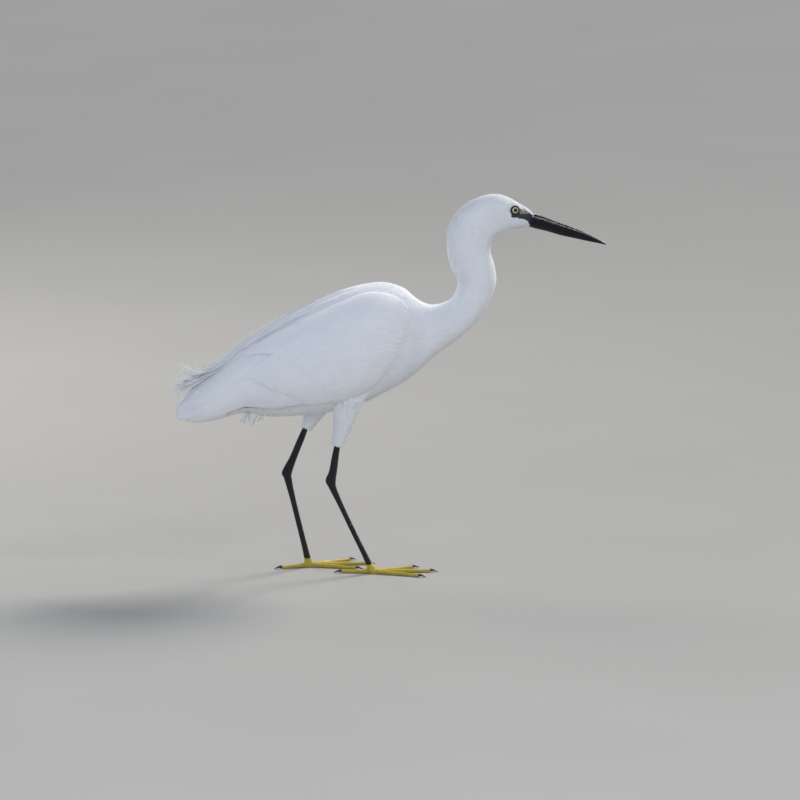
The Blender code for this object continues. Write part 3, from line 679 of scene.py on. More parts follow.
class Finish:
    """A material under construction, with short ways to add nodes and join them."""

    def __init__(self, name, colour, roughness, **sockets):
        self.material = bpy.data.materials.new(name)
        self.material.use_nodes = True
        self.tree = self.material.node_tree
        self.shader = self.tree.nodes["Principled BSDF"]
        self.shader.inputs["Base Color"].default_value = (*colour, 1.0)
        self.shader.inputs["Roughness"].default_value = roughness
        for label, value in sockets.items():
            self.shader.inputs[label.replace("_", " ")].default_value = value
        self.material.diffuse_color = (*colour, 1.0)

    def add(self, kind, **inputs):
        """A node with values or links for its inputs, named by their labels."""
        node = self.tree.nodes.new("ShaderNode" + kind)
        for label, value in inputs.items():
            self.feed(node.inputs[label.replace("_", " ")], value)
        return node

    def feed(self, socket, value):
        """A value or another node's output for an input."""
        if isinstance(value, bpy.types.NodeSocket):
            self.tree.links.new(value, socket)
        else:
            socket.default_value = value

    def spot(self):
        """Object coordinates."""
        return self.add("TexCoord").outputs["Object"]

    def own_map(self, name):
        """A map of the mesh, and its two directions apart."""
        node = self.add("UVMap")
        node.uv_map = name
        return node.outputs["UV"], self.add("SeparateXYZ", Vector=node.outputs["UV"]).outputs

    def attribute(self, name):
        """An attribute of the mesh."""
        node = self.add("Attribute")
        node.attribute_name = name
        return node.outputs["Fac"]

    def stretched(self, source, scale, location=(0.0, 0.0, 0.0), rotation=(0.0, 0.0, 0.0)):
        """Coordinates that are scaled, moved or turned."""
        mapping = self.add("Mapping", Vector=source, Scale=scale, Location=location, Rotation=rotation)
        return mapping.outputs["Vector"]

    def noise(self, source, scale, detail=3.0, roughness=0.55):
        """Cloudy values from 0 to 1."""
        node = self.add("TexNoise", Vector=source, Scale=scale, Detail=detail, Roughness=roughness)
        return node.outputs["Fac"]

    def plates(self, place, scale):
        """How far places lie inside many-sided plates."""
        node = self.add("TexVoronoi", Vector=place, Scale=scale)
        node.feature = "DISTANCE_TO_EDGE"
        return node.outputs["Distance"]

    def sum(self, kind, first, second=0.5, third=0.5):
        """One step of arithmetic."""
        node = self.tree.nodes.new("ShaderNodeMath")
        node.operation = kind
        for socket, value in zip(node.inputs, (first, second, third)):
            self.feed(socket, value)
        return node.outputs[0]

    def spread(self, value, low, high, new_low=0.0, new_high=1.0):
        """A value's range turned into another."""
        names = {"From_Min": low, "From_Max": high, "To_Min": new_low, "To_Max": new_high}
        return self.add("MapRange", Value=value, **names).outputs["Result"]

    def mix(self, share, first, second, kind="MIX"):
        """Two colours mixed by a share."""
        node = self.tree.nodes.new("ShaderNodeMix")
        node.data_type = "RGBA"
        node.blend_type = kind
        self.feed(node.inputs["Factor"], share)
        inputs = [socket for socket in node.inputs if socket.type == "RGBA"]
        for socket, colour in zip(inputs, (first, second)):
            self.feed(socket, (*colour, 1.0) if isinstance(colour, tuple) else colour)
        return next(socket for socket in node.outputs if socket.type == "RGBA")

    def paint(self, colour, roughness=None):
        """Joins colour and roughness to the shader."""
        self.feed(self.shader.inputs["Base Color"], colour)
        if roughness is not None:
            self.feed(self.shader.inputs["Roughness"], roughness)

    def emboss(self, height, distance, strength=1.0):
        """Bump from a height, with a depth in metres."""
        node = self.add("Bump", Height=height, Distance=distance, Strength=strength)
        self.feed(self.shader.inputs["Normal"], node.outputs["Normal"])
        return self.material


def plumage_finish(name, lines, root_shade_share=0.3, shaft=0.0, barbed=False, depth=0.0002):
    """White feathers with painted shade at the roots, a warmer and darker white where they lie under their
    neighbours, each vane its own shade.

    Lines are the loose filaments that run along each tuft, or the barbs that slant from its shaft.
    """
    white = tint("white")
    finish = Finish(name, white, 0.72, Sheen_Weight=0.25, Sheen_Roughness=0.6, Specular_IOR_Level=0.3)
    parts = finish.own_map("vane")[1]
    shade = finish.attribute("shade")
    # Painted shade: each vane is darkened and warmed towards its root, where the feathers over it would shade
    # it.
    root = finish.sum("MULTIPLY", finish.sum("SUBTRACT", 1.0, parts["Y"]), root_shade_share)
    base = finish.mix(root, white, tint("cream_and_root_shade"))
    cloud = finish.spread(finish.noise(finish.spot(), 60.0), 0.3, 0.7, 0.96, 1.0)
    tone = finish.sum("MULTIPLY", shade, cloud)
    toned = finish.add("CombineColor", Red=tone, Green=tone, Blue=tone).outputs["Color"]
    finish.paint(finish.mix(1.0, base, toned, "MULTIPLY"), finish.spread(cloud, 0.96, 1.0, 0.82, 0.68))
    across = finish.sum("ABSOLUTE", finish.sum("SUBTRACT", parts["X"], 0.5))
    if barbed:
        count = finish.sum("MULTIPLY", parts["Y"], lines)
        slanted = finish.sum("SUBTRACT", count, finish.sum("MULTIPLY", across, 0.12 * lines))
    else:
        fan = finish.sum("MULTIPLY_ADD", parts["Y"], 0.35, 1.0)
        slanted = finish.sum("MULTIPLY", finish.sum("MULTIPLY", across, fan), lines)
    height = finish.sum("PINGPONG", slanted, 0.5)
    if shaft:
        ridge = finish.spread(across, 0.0, 0.035, 1.0, 0.0)
        height = finish.sum("MULTIPLY_ADD", ridge, shaft, height)
    return finish.emboss(height, depth, 0.5)


def down_finish():
    """Short white down of the skin under the feathers."""
    white = tint("white")
    finish = Finish("skin_down", white, 0.85, Sheen_Weight=0.3, Sheen_Roughness=0.6)
    place = finish.spot()
    fluff = finish.noise(place, 900.0, 4.0, 0.7)
    patch = finish.spread(finish.noise(place, 35.0), 0.35, 0.65)
    finish.paint(finish.mix(patch, white, tint("cream_and_root_shade")), finish.spread(fluff, 0.3, 0.7, 0.78, 0.92))
    return finish.emboss(fluff, 0.0006, 0.8)


def horn_finish():
    """Satin black horn of the bill, with a fine grain along it and slightly worn patches."""
    horn = tint("horn")
    worn = tuple(2.0 * value + 0.002 for value in horn)
    finish = Finish("bill_black", horn, 0.24, Specular_IOR_Level=0.4)
    place = finish.spot()
    along = finish.stretched(place, (60.0, 900.0, 900.0), rotation=(0.0, math.radians(-18), 0.0))
    grain = finish.noise(along, 1.0, 4.0)
    patch = finish.noise(place, 180.0, 3.0)
    colour = finish.mix(finish.spread(patch, 0.5, 0.8, 0.0, 0.55), horn, worn)
    finish.paint(colour, finish.spread(grain, 0.3, 0.7, 0.18, 0.30))
    return finish.emboss(grain, 0.00012, 0.5)


def face_finish():
    """Bare skin of the face: grey-olive before the eye, nearly black along the mouth, finely pored."""
    lores = tint("lores")
    finish = Finish("bare_face_skin", lores, 0.5)
    place = finish.spot()
    tone = finish.attribute("tone")
    patch = finish.noise(place, 420.0, 4.0, 0.6)
    edge = finish.sum("MULTIPLY_ADD", finish.sum("SUBTRACT", patch, 0.5), 0.5, tone)
    pale = finish.mix(finish.spread(patch, 0.4, 0.7), lores, (0.24, 0.235, 0.19))
    dark = finish.mix(finish.spread(patch, 0.45, 0.7, 0.0, 0.5), tint("gape"), (0.05, 0.05, 0.075))
    share = finish.spread(edge, 0.35, 0.65)
    finish.paint(finish.mix(share, dark, pale), finish.spread(patch, 0.3, 0.7, 0.4, 0.58))
    pores = finish.add("TexVoronoi", Vector=place, Scale=1900.0).outputs["Distance"]
    return finish.emboss(finish.sum("MULTIPLY_ADD", patch, 1.5, pores), 0.00012, 0.55)


def eye_finish():
    """Black pupil, pale yellow iris with fine spokes and a dark rim, under a wet clear coat."""
    iris = tint("iris")
    finish = Finish("eye_wet", iris, 0.25, Coat_Weight=1.0, Coat_Roughness=0.02, Specular_IOR_Level=0.5)
    own, parts = finish.own_map("ball")
    spokes = finish.noise(finish.stretched(own, (70.0, 6.0, 1.0)), 1.0, 3.0)
    colour = finish.mix(finish.spread(spokes, 0.35, 0.65), iris, dimmed(iris, 0.72))
    colour = finish.mix(finish.spread(parts["Y"], 0.745, 0.775), (0.06, 0.05, 0.035), colour)
    colour = finish.mix(finish.spread(parts["Y"], 0.835, 0.857), colour, (0.35, 0.24, 0.06))
    pupil = finish.spread(parts["Y"], 0.857, 0.863)
    finish.paint(finish.mix(pupil, colour, (0.003, 0.003, 0.004)), finish.spread(pupil, 0.0, 1.0, 0.3, 0.08))
    return finish.material


def scaled_finish(name, colour, dark, scale, depth, roughness):
    """Horny scaled skin, darker between the scales."""
    finish = Finish(name, colour, roughness)
    place = finish.spot()
    gap = finish.spread(finish.plates(place, scale), 0.0, 0.09)
    patch = finish.noise(place, 130.0, 4.0)
    shaded = finish.mix(finish.spread(patch, 0.35, 0.65, 0.0, 0.6), colour, dimmed(colour, 0.66))
    shaded = finish.mix(gap, dark, shaded)
    finish.paint(shaded, finish.spread(patch, 0.3, 0.7, roughness - 0.08, roughness + 0.1))
    return finish.emboss(finish.sum("MULTIPLY_ADD", patch, 0.25, gap), depth, 0.7)


def toe_finish(side):
    """Yellow skin of a foot: broad scutes across the tops of the toes and fine scales on their sides."""
    colour = tint("toe")
    finish = Finish("toe_yellow_" + side, colour, 0.46)
    place = finish.spot()
    x, y = FOOT_MIDDLES[side]
    flat = finish.stretched(place, (1.0, 1.0, 0.0), (-x * MM, -y * MM, 0.0))
    reach = finish.add("VectorMath", Vector=flat)
    reach.operation = "LENGTH"
    wander = finish.sum("MULTIPLY", finish.noise(place, 260.0), 0.9)
    rings = finish.sum("MULTIPLY_ADD", reach.outputs["Value"], 1 / SCUTE_PITCH, wander)
    line = finish.spread(finish.sum("PINGPONG", rings, 0.5), 0.0, 0.10)
    fine = finish.spread(finish.plates(place, 1250.0), 0.0, 0.12, 0.35, 1.0)
    top = finish.spread(finish.add("SeparateXYZ", Vector=place).outputs["Z"], 0.0026, 0.0036)
    broad = finish.sum("MAXIMUM", line, finish.sum("SUBTRACT", 1.0, top))
    gap = finish.sum("MINIMUM", broad, finish.sum("MAXIMUM", fine, top))
    patch = finish.noise(place, 130.0, 4.0)
    shaded = finish.mix(finish.spread(patch, 0.35, 0.65, 0.0, 0.6), colour, dimmed(colour, 0.7))
    finish.paint(finish.mix(gap, (0.24, 0.155, 0.02), shaded), finish.spread(patch, 0.3, 0.7, 0.4, 0.56))
    return finish.emboss(finish.sum("MULTIPLY_ADD", patch, 0.25, gap), 0.00022, 0.7)


def claw_finish():
    """Smooth dark horn of the claws, paler and scratched towards the tip."""
    dark = (0.02, 0.019, 0.018)
    finish = Finish("claw_dark", dark, 0.32)
    place = finish.spot()
    grain = finish.noise(finish.stretched(place, (500.0, 500.0, 160.0)), 1.0, 4.0)
    low = finish.add("SeparateXYZ", Vector=place).outputs["Z"]
    tip = finish.spread(low, 0.0055, 0.0005, 0.0, 0.5)
    finish.paint(finish.mix(tip, dark, (0.10, 0.085, 0.06)), finish.spread(grain, 0.3, 0.7, 0.26, 0.42))
    return finish.emboss(grain, 0.0001, 0.4)


# The skin and the bare face. Outlines and the line of the mouth are x and z in millimetres.

LORES_OUTLINE = (
    (138.2, 379.2), (141.8, 377.9), (144.7, 376.4), (146.6, 376.5), (147.9, 375.2), (149.6, 373.1),
    (147.9, 372.8), (144.3, 373.1), (141.4, 373.3), (139.1, 373), (138.2, 375.9),
)
BARE_OUTLINE = (
    (136, 378.2), (138.2, 379.3), (141.8, 378), (144.7, 376.5), (146.6, 376.5), (147.9, 375.2),
    (149.6, 373.3), (153.5, 372.2), (153.5, 356.8), (151.2, 358.4), (149.2, 361.8), (147.7, 364.3),
    (145.1, 366.1), (142.5, 367.7), (139, 368.2), (134.9, 369.2), (131.2, 369.8), (129.4, 370.9),
    (129.9, 372.6), (130.6, 374.6), (133, 376),
)
MOUTH = ((131.5, 370.6), (134.5, 370.2), (138, 369.6), (143, 367.6), (147.5, 365.2), (152.5, 361.6))
RING_RADIUS = 5.0
SKIN_PLACES = (1.2, 2.2, 5, 19, 29, 34.6, 35)
SKIN_UNDER_FACE = 1.6
SKIN_VOXEL = 0.0013
SOCKET_ROOM = 0.0011
FACE_HOLE_ROOM = 0.0002


def inside_depth(outline, x, z):
    """How far points lie inside a closed outline, in millimetres; outside it the value is negative."""
    corners = np.asarray(outline, float)
    ends = np.roll(corners, -1, axis=0)
    point = np.stack((x, z), axis=-1)[:, None]
    run = ends - corners
    share = np.clip(np.sum((point - corners) * run, axis=2) / np.sum(run * run, axis=1), 0, 1)
    gaps = np.linalg.norm(point - corners - share[..., None] * run, axis=2)
    above = (corners[:, 1] > z[:, None]) != (ends[:, 1] > z[:, None])
    slope = (ends[:, 0] - corners[:, 0]) / np.where(run[:, 1] == 0, 1e-9, run[:, 1])
    crossing = above & (x[:, None] < corners[:, 0] + (z[:, None] - corners[:, 1]) * slope)
    inner = np.sum(crossing, axis=1) % 2 == 1
    return np.where(inner, 1.0, -1.0) * np.min(gaps, axis=1)


def bare_depth(points):
    """How far points of the head lie inside the bare skin, in millimetres."""
    x = points[:, 0] / MM
    z = points[:, 2] / MM
    ring = RING_RADIUS - np.hypot(x - EYE_CENTRE[0], z - EYE_CENTRE[2])
    depth = inside_depth(BARE_OUTLINE, x, z)
    sides = np.abs(points[:, 1]) / MM > 2.5
    return np.where(sides, np.maximum(depth, ring), -5.0)


def mouth_depth(x, z):
    """Depth in metres of the closed mouth's line, from the gape to the bill."""
    gap = np.abs(z - blend_table(MOUTH, x))
    within = np.clip((x - 131.0) / 3.0, 0, 1)
    return 0.45 * MM * within * np.exp(-((gap / 0.45) ** 2))


def cut_sockets(thing, radius):
    """Round hollows for the eyes."""
    for side in SIDES.values():
        ball = added("uv_sphere", segments=48, ring_count=24, radius=radius, location=eye_centre(side))
        cut_away(thing, ball, "MANIFOLD")


def wing_core(side):
    """The closed flesh and inner feathers of a folded wing, between the body and the coverts."""
    rows, columns = 40, 24
    form = WING_FORMS[side]
    a, b = np.meshgrid(np.linspace(0.02, 0.9, rows), np.linspace(0.02, 0.95, columns), indexing="ij")
    rim = np.minimum(np.minimum(a - 0.02, 0.9 - a) / 0.06, np.minimum(b - 0.02, 0.95 - b) / 0.06)
    lift = (-1.7 - 1.3 * (1 - np.clip(rim, 0, 1)) ** 2) * MM
    outer = form.lifted(a.ravel(), b.ravel(), lift.ravel())
    place, turn = form.spot(a[1:-1, 1:-1].ravel(), b[1:-1, 1:-1].ravel())
    inner = BODY_FORM.lifted(place, turn, np.full(place.shape, -3.5 * MM)) * form.mirror
    return face_outwards(link_mesh("core_" + side, np.concatenate((outer, inner)), vane_grid(rows, columns)))


class EgretSkin(bpy.types.Operator):
    """One closed skin under all the feathers, from the rump to the bill and down the thighs"""

    bl_idname = "egret.skin"
    bl_label = "Skin"

    def execute(self, context):
        sizes = settings()[0]
        places = np.linspace(SKIN_PLACES[0], SKIN_PLACES[-1], 150)
        deep, shallow = sizes.body_coat, sizes.head_coat
        depths = (2.0 * deep, 1.2 * deep, deep, 0.5 * deep, shallow, shallow, 2.5 * shallow)
        lifts = -np.interp(places, SKIN_PLACES, depths)
        body = closed_loft("skin", form_rings(WHOLE_FORM, places, lifts, 96))
        parts = [body, wing_core("right"), wing_core("left")]
        for side, form in THIGH_FORMS.items():
            last = len(form.rows) - 1.0
            places = np.linspace(0.1, last, 40)
            lifts = -np.interp(places, (0, last - 1, last), (1.0, 0.8, 0.7)) * MM
            parts.append(closed_loft("thigh_skin_" + side, form_rings(form, places, lifts, 48)))
        skin = joined("skin", parts)
        remesh(skin, SKIN_VOXEL, 6)
        self.sink_under_face(skin)
        cut_sockets(skin, sizes.eye_radius + SOCKET_ROOM)
        nodes = ["torso", "neck_lower", "neck_middle", "neck_upper", "head", "thigh_left", "thigh_right"]
        finish_piece(skin, down_finish(), nodes)
        return {"FINISHED"}

    def sink_under_face(self, skin):
        """Keeps the skin of the head clear of the bare face over it."""
        points = np.empty(len(skin.data.vertices) * 3, np.float32)
        skin.data.vertices.foreach_get("co", points)
        points = points.reshape(-1, 3)
        sink = SKIN_UNDER_FACE * MM * smooth_step((bare_depth(points) + 0.1) / 0.8) * (points[:, 0] > 0.125)
        points[:, 1] -= np.sign(points[:, 1]) * sink
        skin.data.vertices.foreach_set("co", points.ravel())


class EgretFace(bpy.types.Operator):
    """Bare skin before the eyes, round them and along the mouth, with the line of the mouth"""

    bl_idname = "egret.face"
    bl_label = "Bare face"

    def execute(self, context):
        count = 300
        places = np.concatenate((np.linspace(15.6, 16.2, 6), np.linspace(16.25, 20.0, 120)))
        turns = np.arange(count) / count * TURNS
        rings = []
        tones = []
        for place in places:
            a = np.full(count, place)
            point = NECK_FORM.point(a, turns)
            x, z = point[:, 0] / MM, point[:, 2] / MM
            rise = smooth_step((bare_depth(point) + 0.75) / 0.9)
            dip = 0.9 * MM * smooth_step((place - 19.45) / 0.5)
            wrinkle = 0.05 * MM * np.sin(x * 3.1 + np.sin(z * 1.7) * 1.4) * np.sin(z * 2.3 + x * 0.6)
            lift = -1.7 * MM + rise * (1.45 * MM + wrinkle) - dip * rise - mouth_depth(x, z) * rise
            rings.append(NECK_FORM.lifted(a, turns, lift))
            ring = np.hypot(x - EYE_CENTRE[0], z - EYE_CENTRE[2])
            pale = np.clip(0.5 + inside_depth(LORES_OUTLINE, x, z) / 0.8, 0, 1)
            tones.append(pale * np.clip((ring - 4.6) / 0.6, 0, 1))
        face = closed_loft("face_skin", rings)
        tone = face.data.attributes.new("tone", "FLOAT", "POINT")
        tone.data.foreach_set("value", np.concatenate(tones).astype(np.float32))
        cut_sockets(face, settings()[0].eye_radius + FACE_HOLE_ROOM)
        finish_piece(face, face_finish())
        return {"FINISHED"}


class EgretEyes(bpy.types.Operator):
    """Eyeballs with a bulging cornea, and the dark lids round them"""

    bl_idname = "egret.eyes"
    bl_label = "Eyes and lids"

    def execute(self, context):
        radius = settings()[0].eye_radius
        material = eye_finish()
        lid_colours = (0.022, 0.026, 0.045), (0.010, 0.011, 0.018)
        lid_material = scaled_finish("lid_skin", *lid_colours, 4600.0, 0.00004, 0.5)
        for name, side in SIDES.items():
            centre = eye_centre(side)
            turned = eye_axis(side).to_track_quat("Z", "Y").to_euler()
            place = {"location": centre, "rotation": turned}
            ball = added("uv_sphere", segments=64, ring_count=64, radius=radius, **place)
            ball.name = "eye_" + name + "_ball"
            ball.data.uv_layers[0].name = "ball"
            for vertex in ball.data.vertices:
                rise = vertex.co.z / radius
                vertex.co *= 1 + 0.045 * max(rise - 0.72, 0.0) / 0.28
            settle(ball)
            finish_piece(ball, material, ("eye_" + name,), sharp=0)
            place["location"] = centre + eye_axis(side) * 0.0031
            radii = {"major_radius": 0.0041, "minor_radius": 0.0008}
            lid = added("torus", major_segments=72, minor_segments=18, **radii, **place)
            lid.name = "lids_" + name
            self.shape_lid(lid)
            settle(lid)
            finish_piece(lid, lid_material, sharp=0)
        return {"FINISHED"}

    def shape_lid(self, lid):
        """Leans the lids from the eyeball down to the face, finely creased."""
        for vertex in lid.data.vertices:
            reach = math.hypot(vertex.co.x, vertex.co.y)
            turn = math.atan2(vertex.co.y, vertex.co.x)
            crease = 0.00003 * math.sin(34 * turn) + 0.00003 * math.sin(13 * turn + 1.0)
            vertex.co.z = vertex.co.z * 0.5 + 0.00015 - 0.25 * (reach - 0.0033) + crease


# Horn: bill, legs, feet and claws. Rows of the bill: x, then the heights of the ridge, the mouth and
# the lower edge, and the half widths of both halves. Rows of a leg are as those of a thigh.

BILL = (
    (149.4, 373.4, 363.3, 358.2, 6, 5.8),
    (152.3, 374, 362.4, 357.3, 6.7, 6.3),
    (160, 370.8, 360, 355, 5.6, 5.2),
    (170.1, 366.7, 356.8, 352.5, 4.8, 4.3),
    (183.4, 361.3, 352.7, 348.3, 4, 3.5),
    (196.8, 356.1, 348.5, 345.1, 3.3, 2.8),
    (210.2, 350.4, 344.4, 341.9, 2.6, 2.1),
    (223.6, 343.3, 340.4, 339, 1.6, 1.2),
    (231.3, 338.4, 337.8, 337.1, 0.45, 0.3),
)
LEGS = {
    "right": (
        (-52.6, -17.3, 138, 3, 2.9),
        (-55.2, -16, 122, 3.7, 3.3),
        (-57.2, -15, 108, 4.2, 3.6),
        (-59.6, -14.2, 98, 5.4, 4.5),
        (-57.5, -14.7, 90, 4, 3.4),
        (-48.5, -16.3, 70, 3, 2.6),
        (-36.5, -18.6, 44, 2.9, 2.5),
        (-25, -20.8, 20, 3.1, 2.8),
        (-20.4, -21.7, 10, 3.6, 3.4),
    ),
    "left": (
        (-81.2, 17.3, 150, 3, 2.9),
        (-87.2, 16.2, 136, 3.7, 3.3),
        (-94.5, 15.1, 119, 4, 3.5),
        (-101.6, 14.3, 103, 5.4, 4.5),
        (-100.6, 14.7, 95, 4, 3.4),
        (-95, 16.6, 72, 3, 2.6),
        (-88.3, 18.8, 45, 2.9, 2.5),
        (-82, 20.9, 20, 3.1, 2.8),
        (-79.6, 21.7, 10, 3.6, 3.4),
    ),
}
FOOT_MIDDLES = {"right": (-16.5, -21.8), "left": (-75.7, 21.8)}
SCUTE_PITCH = 0.0021
NOSTRIL = ((160.6, 366.0), (167.4, 363.9))
NOSTRIL_SIZE = (3.6 * MM, 1.0 * MM, 0.45 * MM)
CLAW_NODES = ("middle", "inner", "outer", "hind")


def extruded(name, sections, sides, across):
    """A closed tube that is extruded through sections of centre and two half sizes.

    Across is "X" for rings that stand across the length of the bird, and "Z" for level rings.
    """
    centre, sizes = sections[0]
    turned = (0.0, math.pi / 2, 0.0) if across == "X" else (0.0, 0.0, 0.0)
    tube = added("circle", vertices=sides, radius=1.0, fill_type="NGON", location=centre, rotation=turned)
    tube.name = name
    settle(tube)
    with editing(tube):
        bpy.ops.transform.resize(value=ring_scale(sizes, across), center_override=centre)
        for (place, half), (next_place, next_half) in zip(sections[:-1], sections[1:]):
            step = [after - before for before, after in zip(place, next_place)]
            bpy.ops.mesh.extrude_region_move(TRANSFORM_OT_translate={"value": step})
            growth = (next_half[0] / half[0], next_half[1] / half[1])
            bpy.ops.transform.resize(value=ring_scale(growth, across), center_override=next_place)
        bpy.ops.mesh.select_all(action="SELECT")
        bpy.ops.mesh.normals_make_consistent(inside=False)
    return tube


def ring_scale(pair, across):
    """Scale of a ring in its own plane."""
    return (1.0, pair[0], pair[1]) if across == "X" else (pair[0], pair[1], 1.0)


class EgretBill(bpy.types.Operator):
    """Dagger bill in two halves, with slit nostrils"""

    bl_idname = "egret.bill"
    bl_label = "Bill"

    def execute(self, context):
        material = horn_finish()
        values = spline_rows(BILL, np.arange(0, len(BILL) - 1 + 1e-6, 0.2)) / MM
        root, tip = BILL[1], BILL[-2]
        run = Vector((tip[0] - root[0], 0.0, tip[2] - root[2])).normalized()
        up = Vector((-run.z, 0.0, run.x))
        for half, name in ((1, "upper"), (-1, "lower")):
            sections = []
            for x, culmen, mouth, low, wide_up, wide_low in values:
                height, wide = (culmen - mouth, wide_up) if half > 0 else (mouth - low, wide_low)
                flat = root[2] + (x - root[0]) * run.z / run.x
                tall = max(height + half * (mouth - flat), 0.25)
                sections.append(((x * MM, 0.0, flat * MM), (max(wide, 0.3) * MM, tall * MM)))
            bill = extruded("bill_%s_horn" % name, sections, 40, "X")
            self.shape_half(bill, half, root, run)
            point = Vector((root[0] * MM, 0.0, root[2] * MM)) + up * (0.00001 * half)
            clear = {"clear_inner": half > 0, "clear_outer": half < 0}
            with editing(bill):
                bpy.ops.mesh.bisect(plane_co=point, plane_no=up, use_fill=True, **clear)
            edges = {"limit_method": "ANGLE", "angle_limit": math.radians(50)}
            apply_modifier(bill, "BEVEL", width=0.0003, segments=2, **edges)
            if half > 0:
                self.cut_nostrils(bill)
            finish_piece(bill, material, ("bill_" + name,), sharp=55)
        return {"FINISHED"}

    def shape_half(self, bill, half, root, run):
        """Draws the ridge of the bill in to a narrow keel and leaves its sides a little flat."""
        for vertex in bill.data.vertices:
            flat = (root[2] + (vertex.co.x / MM - root[0]) * run.z / run.x) * MM
            rise = (vertex.co.z - flat) * half
            reach = abs(vertex.co.y)
            if rise > 0 and reach > 0:
                share = rise / (rise + reach)
                vertex.co.y *= 1 - 0.16 * share * share

    def cut_nostrils(self, bill):
        """Sinks the slit nostrils."""
        (x0, z0), (x1, z1) = NOSTRIL
        slope = math.atan2(z0 - z1, x1 - x0)
        x, z = (x0 + x1) / 2, (z0 + z1) / 2
        for side in (-1, 1):
            slit = added("uv_sphere", segments=32, ring_count=16, radius=1.0, rotation=(0, slope, 0))
            slit.scale = NOSTRIL_SIZE
            slit.location = (x * MM, side * self.side_at(bill, x, z), z * MM)
            settle(slit)
            cut_away(bill, slit, "EXACT")

    def side_at(self, bill, x, z):
        """Half width of the bill near a place on its side."""
        spots = [vertex.co for vertex in bill.data.vertices]
        return max(abs(at.y) for at in spots if abs(at.x / MM - x) < 2.0 and abs(at.z / MM - z) < 1.2)


class EgretLegs(bpy.types.Operator):
    """Bare black legs with their rings of scutes, yellow toes and dark claws"""

    bl_idname = "egret.legs"
    bl_label = "Legs, feet and claws"

    def execute(self, context):
        leg_material = scaled_finish("leg_black", tint("leg"), (0.004, 0.004, 0.005), 430.0, 0.0003, 0.42)
        claw_material = claw_finish()
        for side in SIDES:
            finish_piece(self.make_leg(side), leg_material, ("leg_" + side,), sharp=0)
            node = "foot_" + side
            foot = self.copy_node(node, 0.00042, 9)
            finish_piece(foot, toe_finish(side), (node,), sharp=0)
            for toe in CLAW_NODES:
                node = "claw_%s_%s" % (side, toe)
                claw = self.copy_node(node, 0.00016, 8)
                finish_piece(claw, claw_material, (node,), sharp=0)
        return {"FINISHED"}

    def make_leg(self, side):
        """A leg with a ring of scutes every few millimetres, closer and deeper along the front."""
        rows = LEGS[side]
        length = sum((Vector(b[:3]) - Vector(a[:3])).length for a, b in zip(rows[:-1], rows[1:]))
        values = spline_rows(rows, np.linspace(0, len(rows) - 1, int(length / 0.8)))
        leg = extruded("leg_%s_skin" % side, [(tuple(row[:3]), tuple(row[3:])) for row in values], 36, "Z")
        for vertex in leg.data.vertices:
            row = int(np.argmin(np.abs(values[:, 2] - vertex.co.z)))
            out = Vector((vertex.co.x - values[row, 0], vertex.co.y - values[row, 1], 0.0))
            front = max(out.normalized().x, 0.0) if out.length > 0 else 0.0
            ring = abs(math.sin(vertex.co.z / MM * math.pi / 3.1))
            vertex.co += out.normalized() * (0.00022 * front**0.5 * (ring**0.6 - 0.7))
        return leg

    def copy_node(self, node, voxel, rounds):
        """A finer, softer copy of a solid's mesh."""
        thing = bpy.data.objects.new(node + "_skin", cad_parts[node].data.copy())
        bpy.context.scene.collection.objects.link(thing)
        with editing(thing):
            bpy.ops.mesh.remove_doubles(threshold=0.00001)
        remesh(thing, voxel, rounds)
        return thing


# Coats of small feathers. A tuft has few rows: their half widths as shares of its greatest, how far
# they are sunk as shares of the sink, and how far they rise as shares of the lift. Tables of a coat
# give rings of the form and the values there, in metres.

TUFT_COLUMNS = 3
TUFT_WIDTHS = (0.45, 1.0, 0.72, 0.07)
TUFT_RISE = (-1.0, -0.3, 0.0, 0.0)
TUFT_LIFT = (0.0, 0.35, 1.0)
HEAD_TUFTS = {
    "length": ((10.4, 13, 15.5, 17.5, 20), (0.0100, 0.0088, 0.0060, 0.0042, 0.0032)),
    "width": ((10.4, 13, 15.5, 17.5, 20), (0.00092, 0.00086, 0.00070, 0.00054, 0.00040)),
    "sink": ((10, 13, 19.5, 20), (0.0014, 0.0008, 0.0008, 0.0009)),
    "lift": ((10, 13, 15, 18, 20), (0.0002, 0.00005, -0.00036, -0.00022, -0.00015)),
}
NECK_TUFTS = {
    "length": ((14, 17, 20, 25), (0.016, 0.014, 0.012, 0.0105)),
    "width": ((14, 17, 20, 25), (0.00135, 0.00118, 0.00108, 0.00096)),
}


def at_starts(table, starts):
    """The values of a coat's table at the starts of its tufts."""
    return {kind: np.interp(starts[:, 0], *row) for kind, row in table.items()}


def grow_coat(
    name, form, starts, random, length, width, sink, lift,
    yaw=0.1, thick=0.00022, camber=0.35, sense=-1, loose=0.3, tip=0.35, keep=None,
):
    """Tufts of a coat over a form, each on its root, as one mesh. Lengths and heights are in metres."""
    count = len(starts)
    lengths = length * random.uniform(0.8, 1.15, count)
    widths = width * random.uniform(0.8, 1.2, count)
    steps = lie(form, starts, lengths, random.normal(0.0, yaw, count), sense)
    lift = lift * (1 + loose * random.normal(0.0, 1.0, count))
    rise = np.array(TUFT_LIFT + (tip,))
    heights = np.full(count, sink)[:, None] * np.array(TUFT_RISE) + lift[:, None] * rise
    heights = heights + random.uniform(-0.08, 0.08, (count, 1)) * MM
    centres, normals = follow(form, *run_on(starts, steps, np.linspace(0, 1, len(TUFT_WIDTHS))), heights)
    if keep is not None:
        kept = keep(centres, bare_depth(centres.reshape(-1, 3)).reshape(centres.shape[:2]))
        centres, normals, widths, starts = centres[kept], normals[kept], widths[kept], starts[kept]
    half = widths[:, None] * np.array(TUFT_WIDTHS)
    return lay_vanes(name, centres, normals, half, thick, camber, TUFT_COLUMNS, unwrapped(starts), random)


def off_face(centres, depth):
    """Tufts of the head that keep clear of the bare face."""
    return (depth[:, 0] < 1.0) & (depth[:, 1] < 0.45) & (depth[:, 2:].max(axis=1) < 0.25)


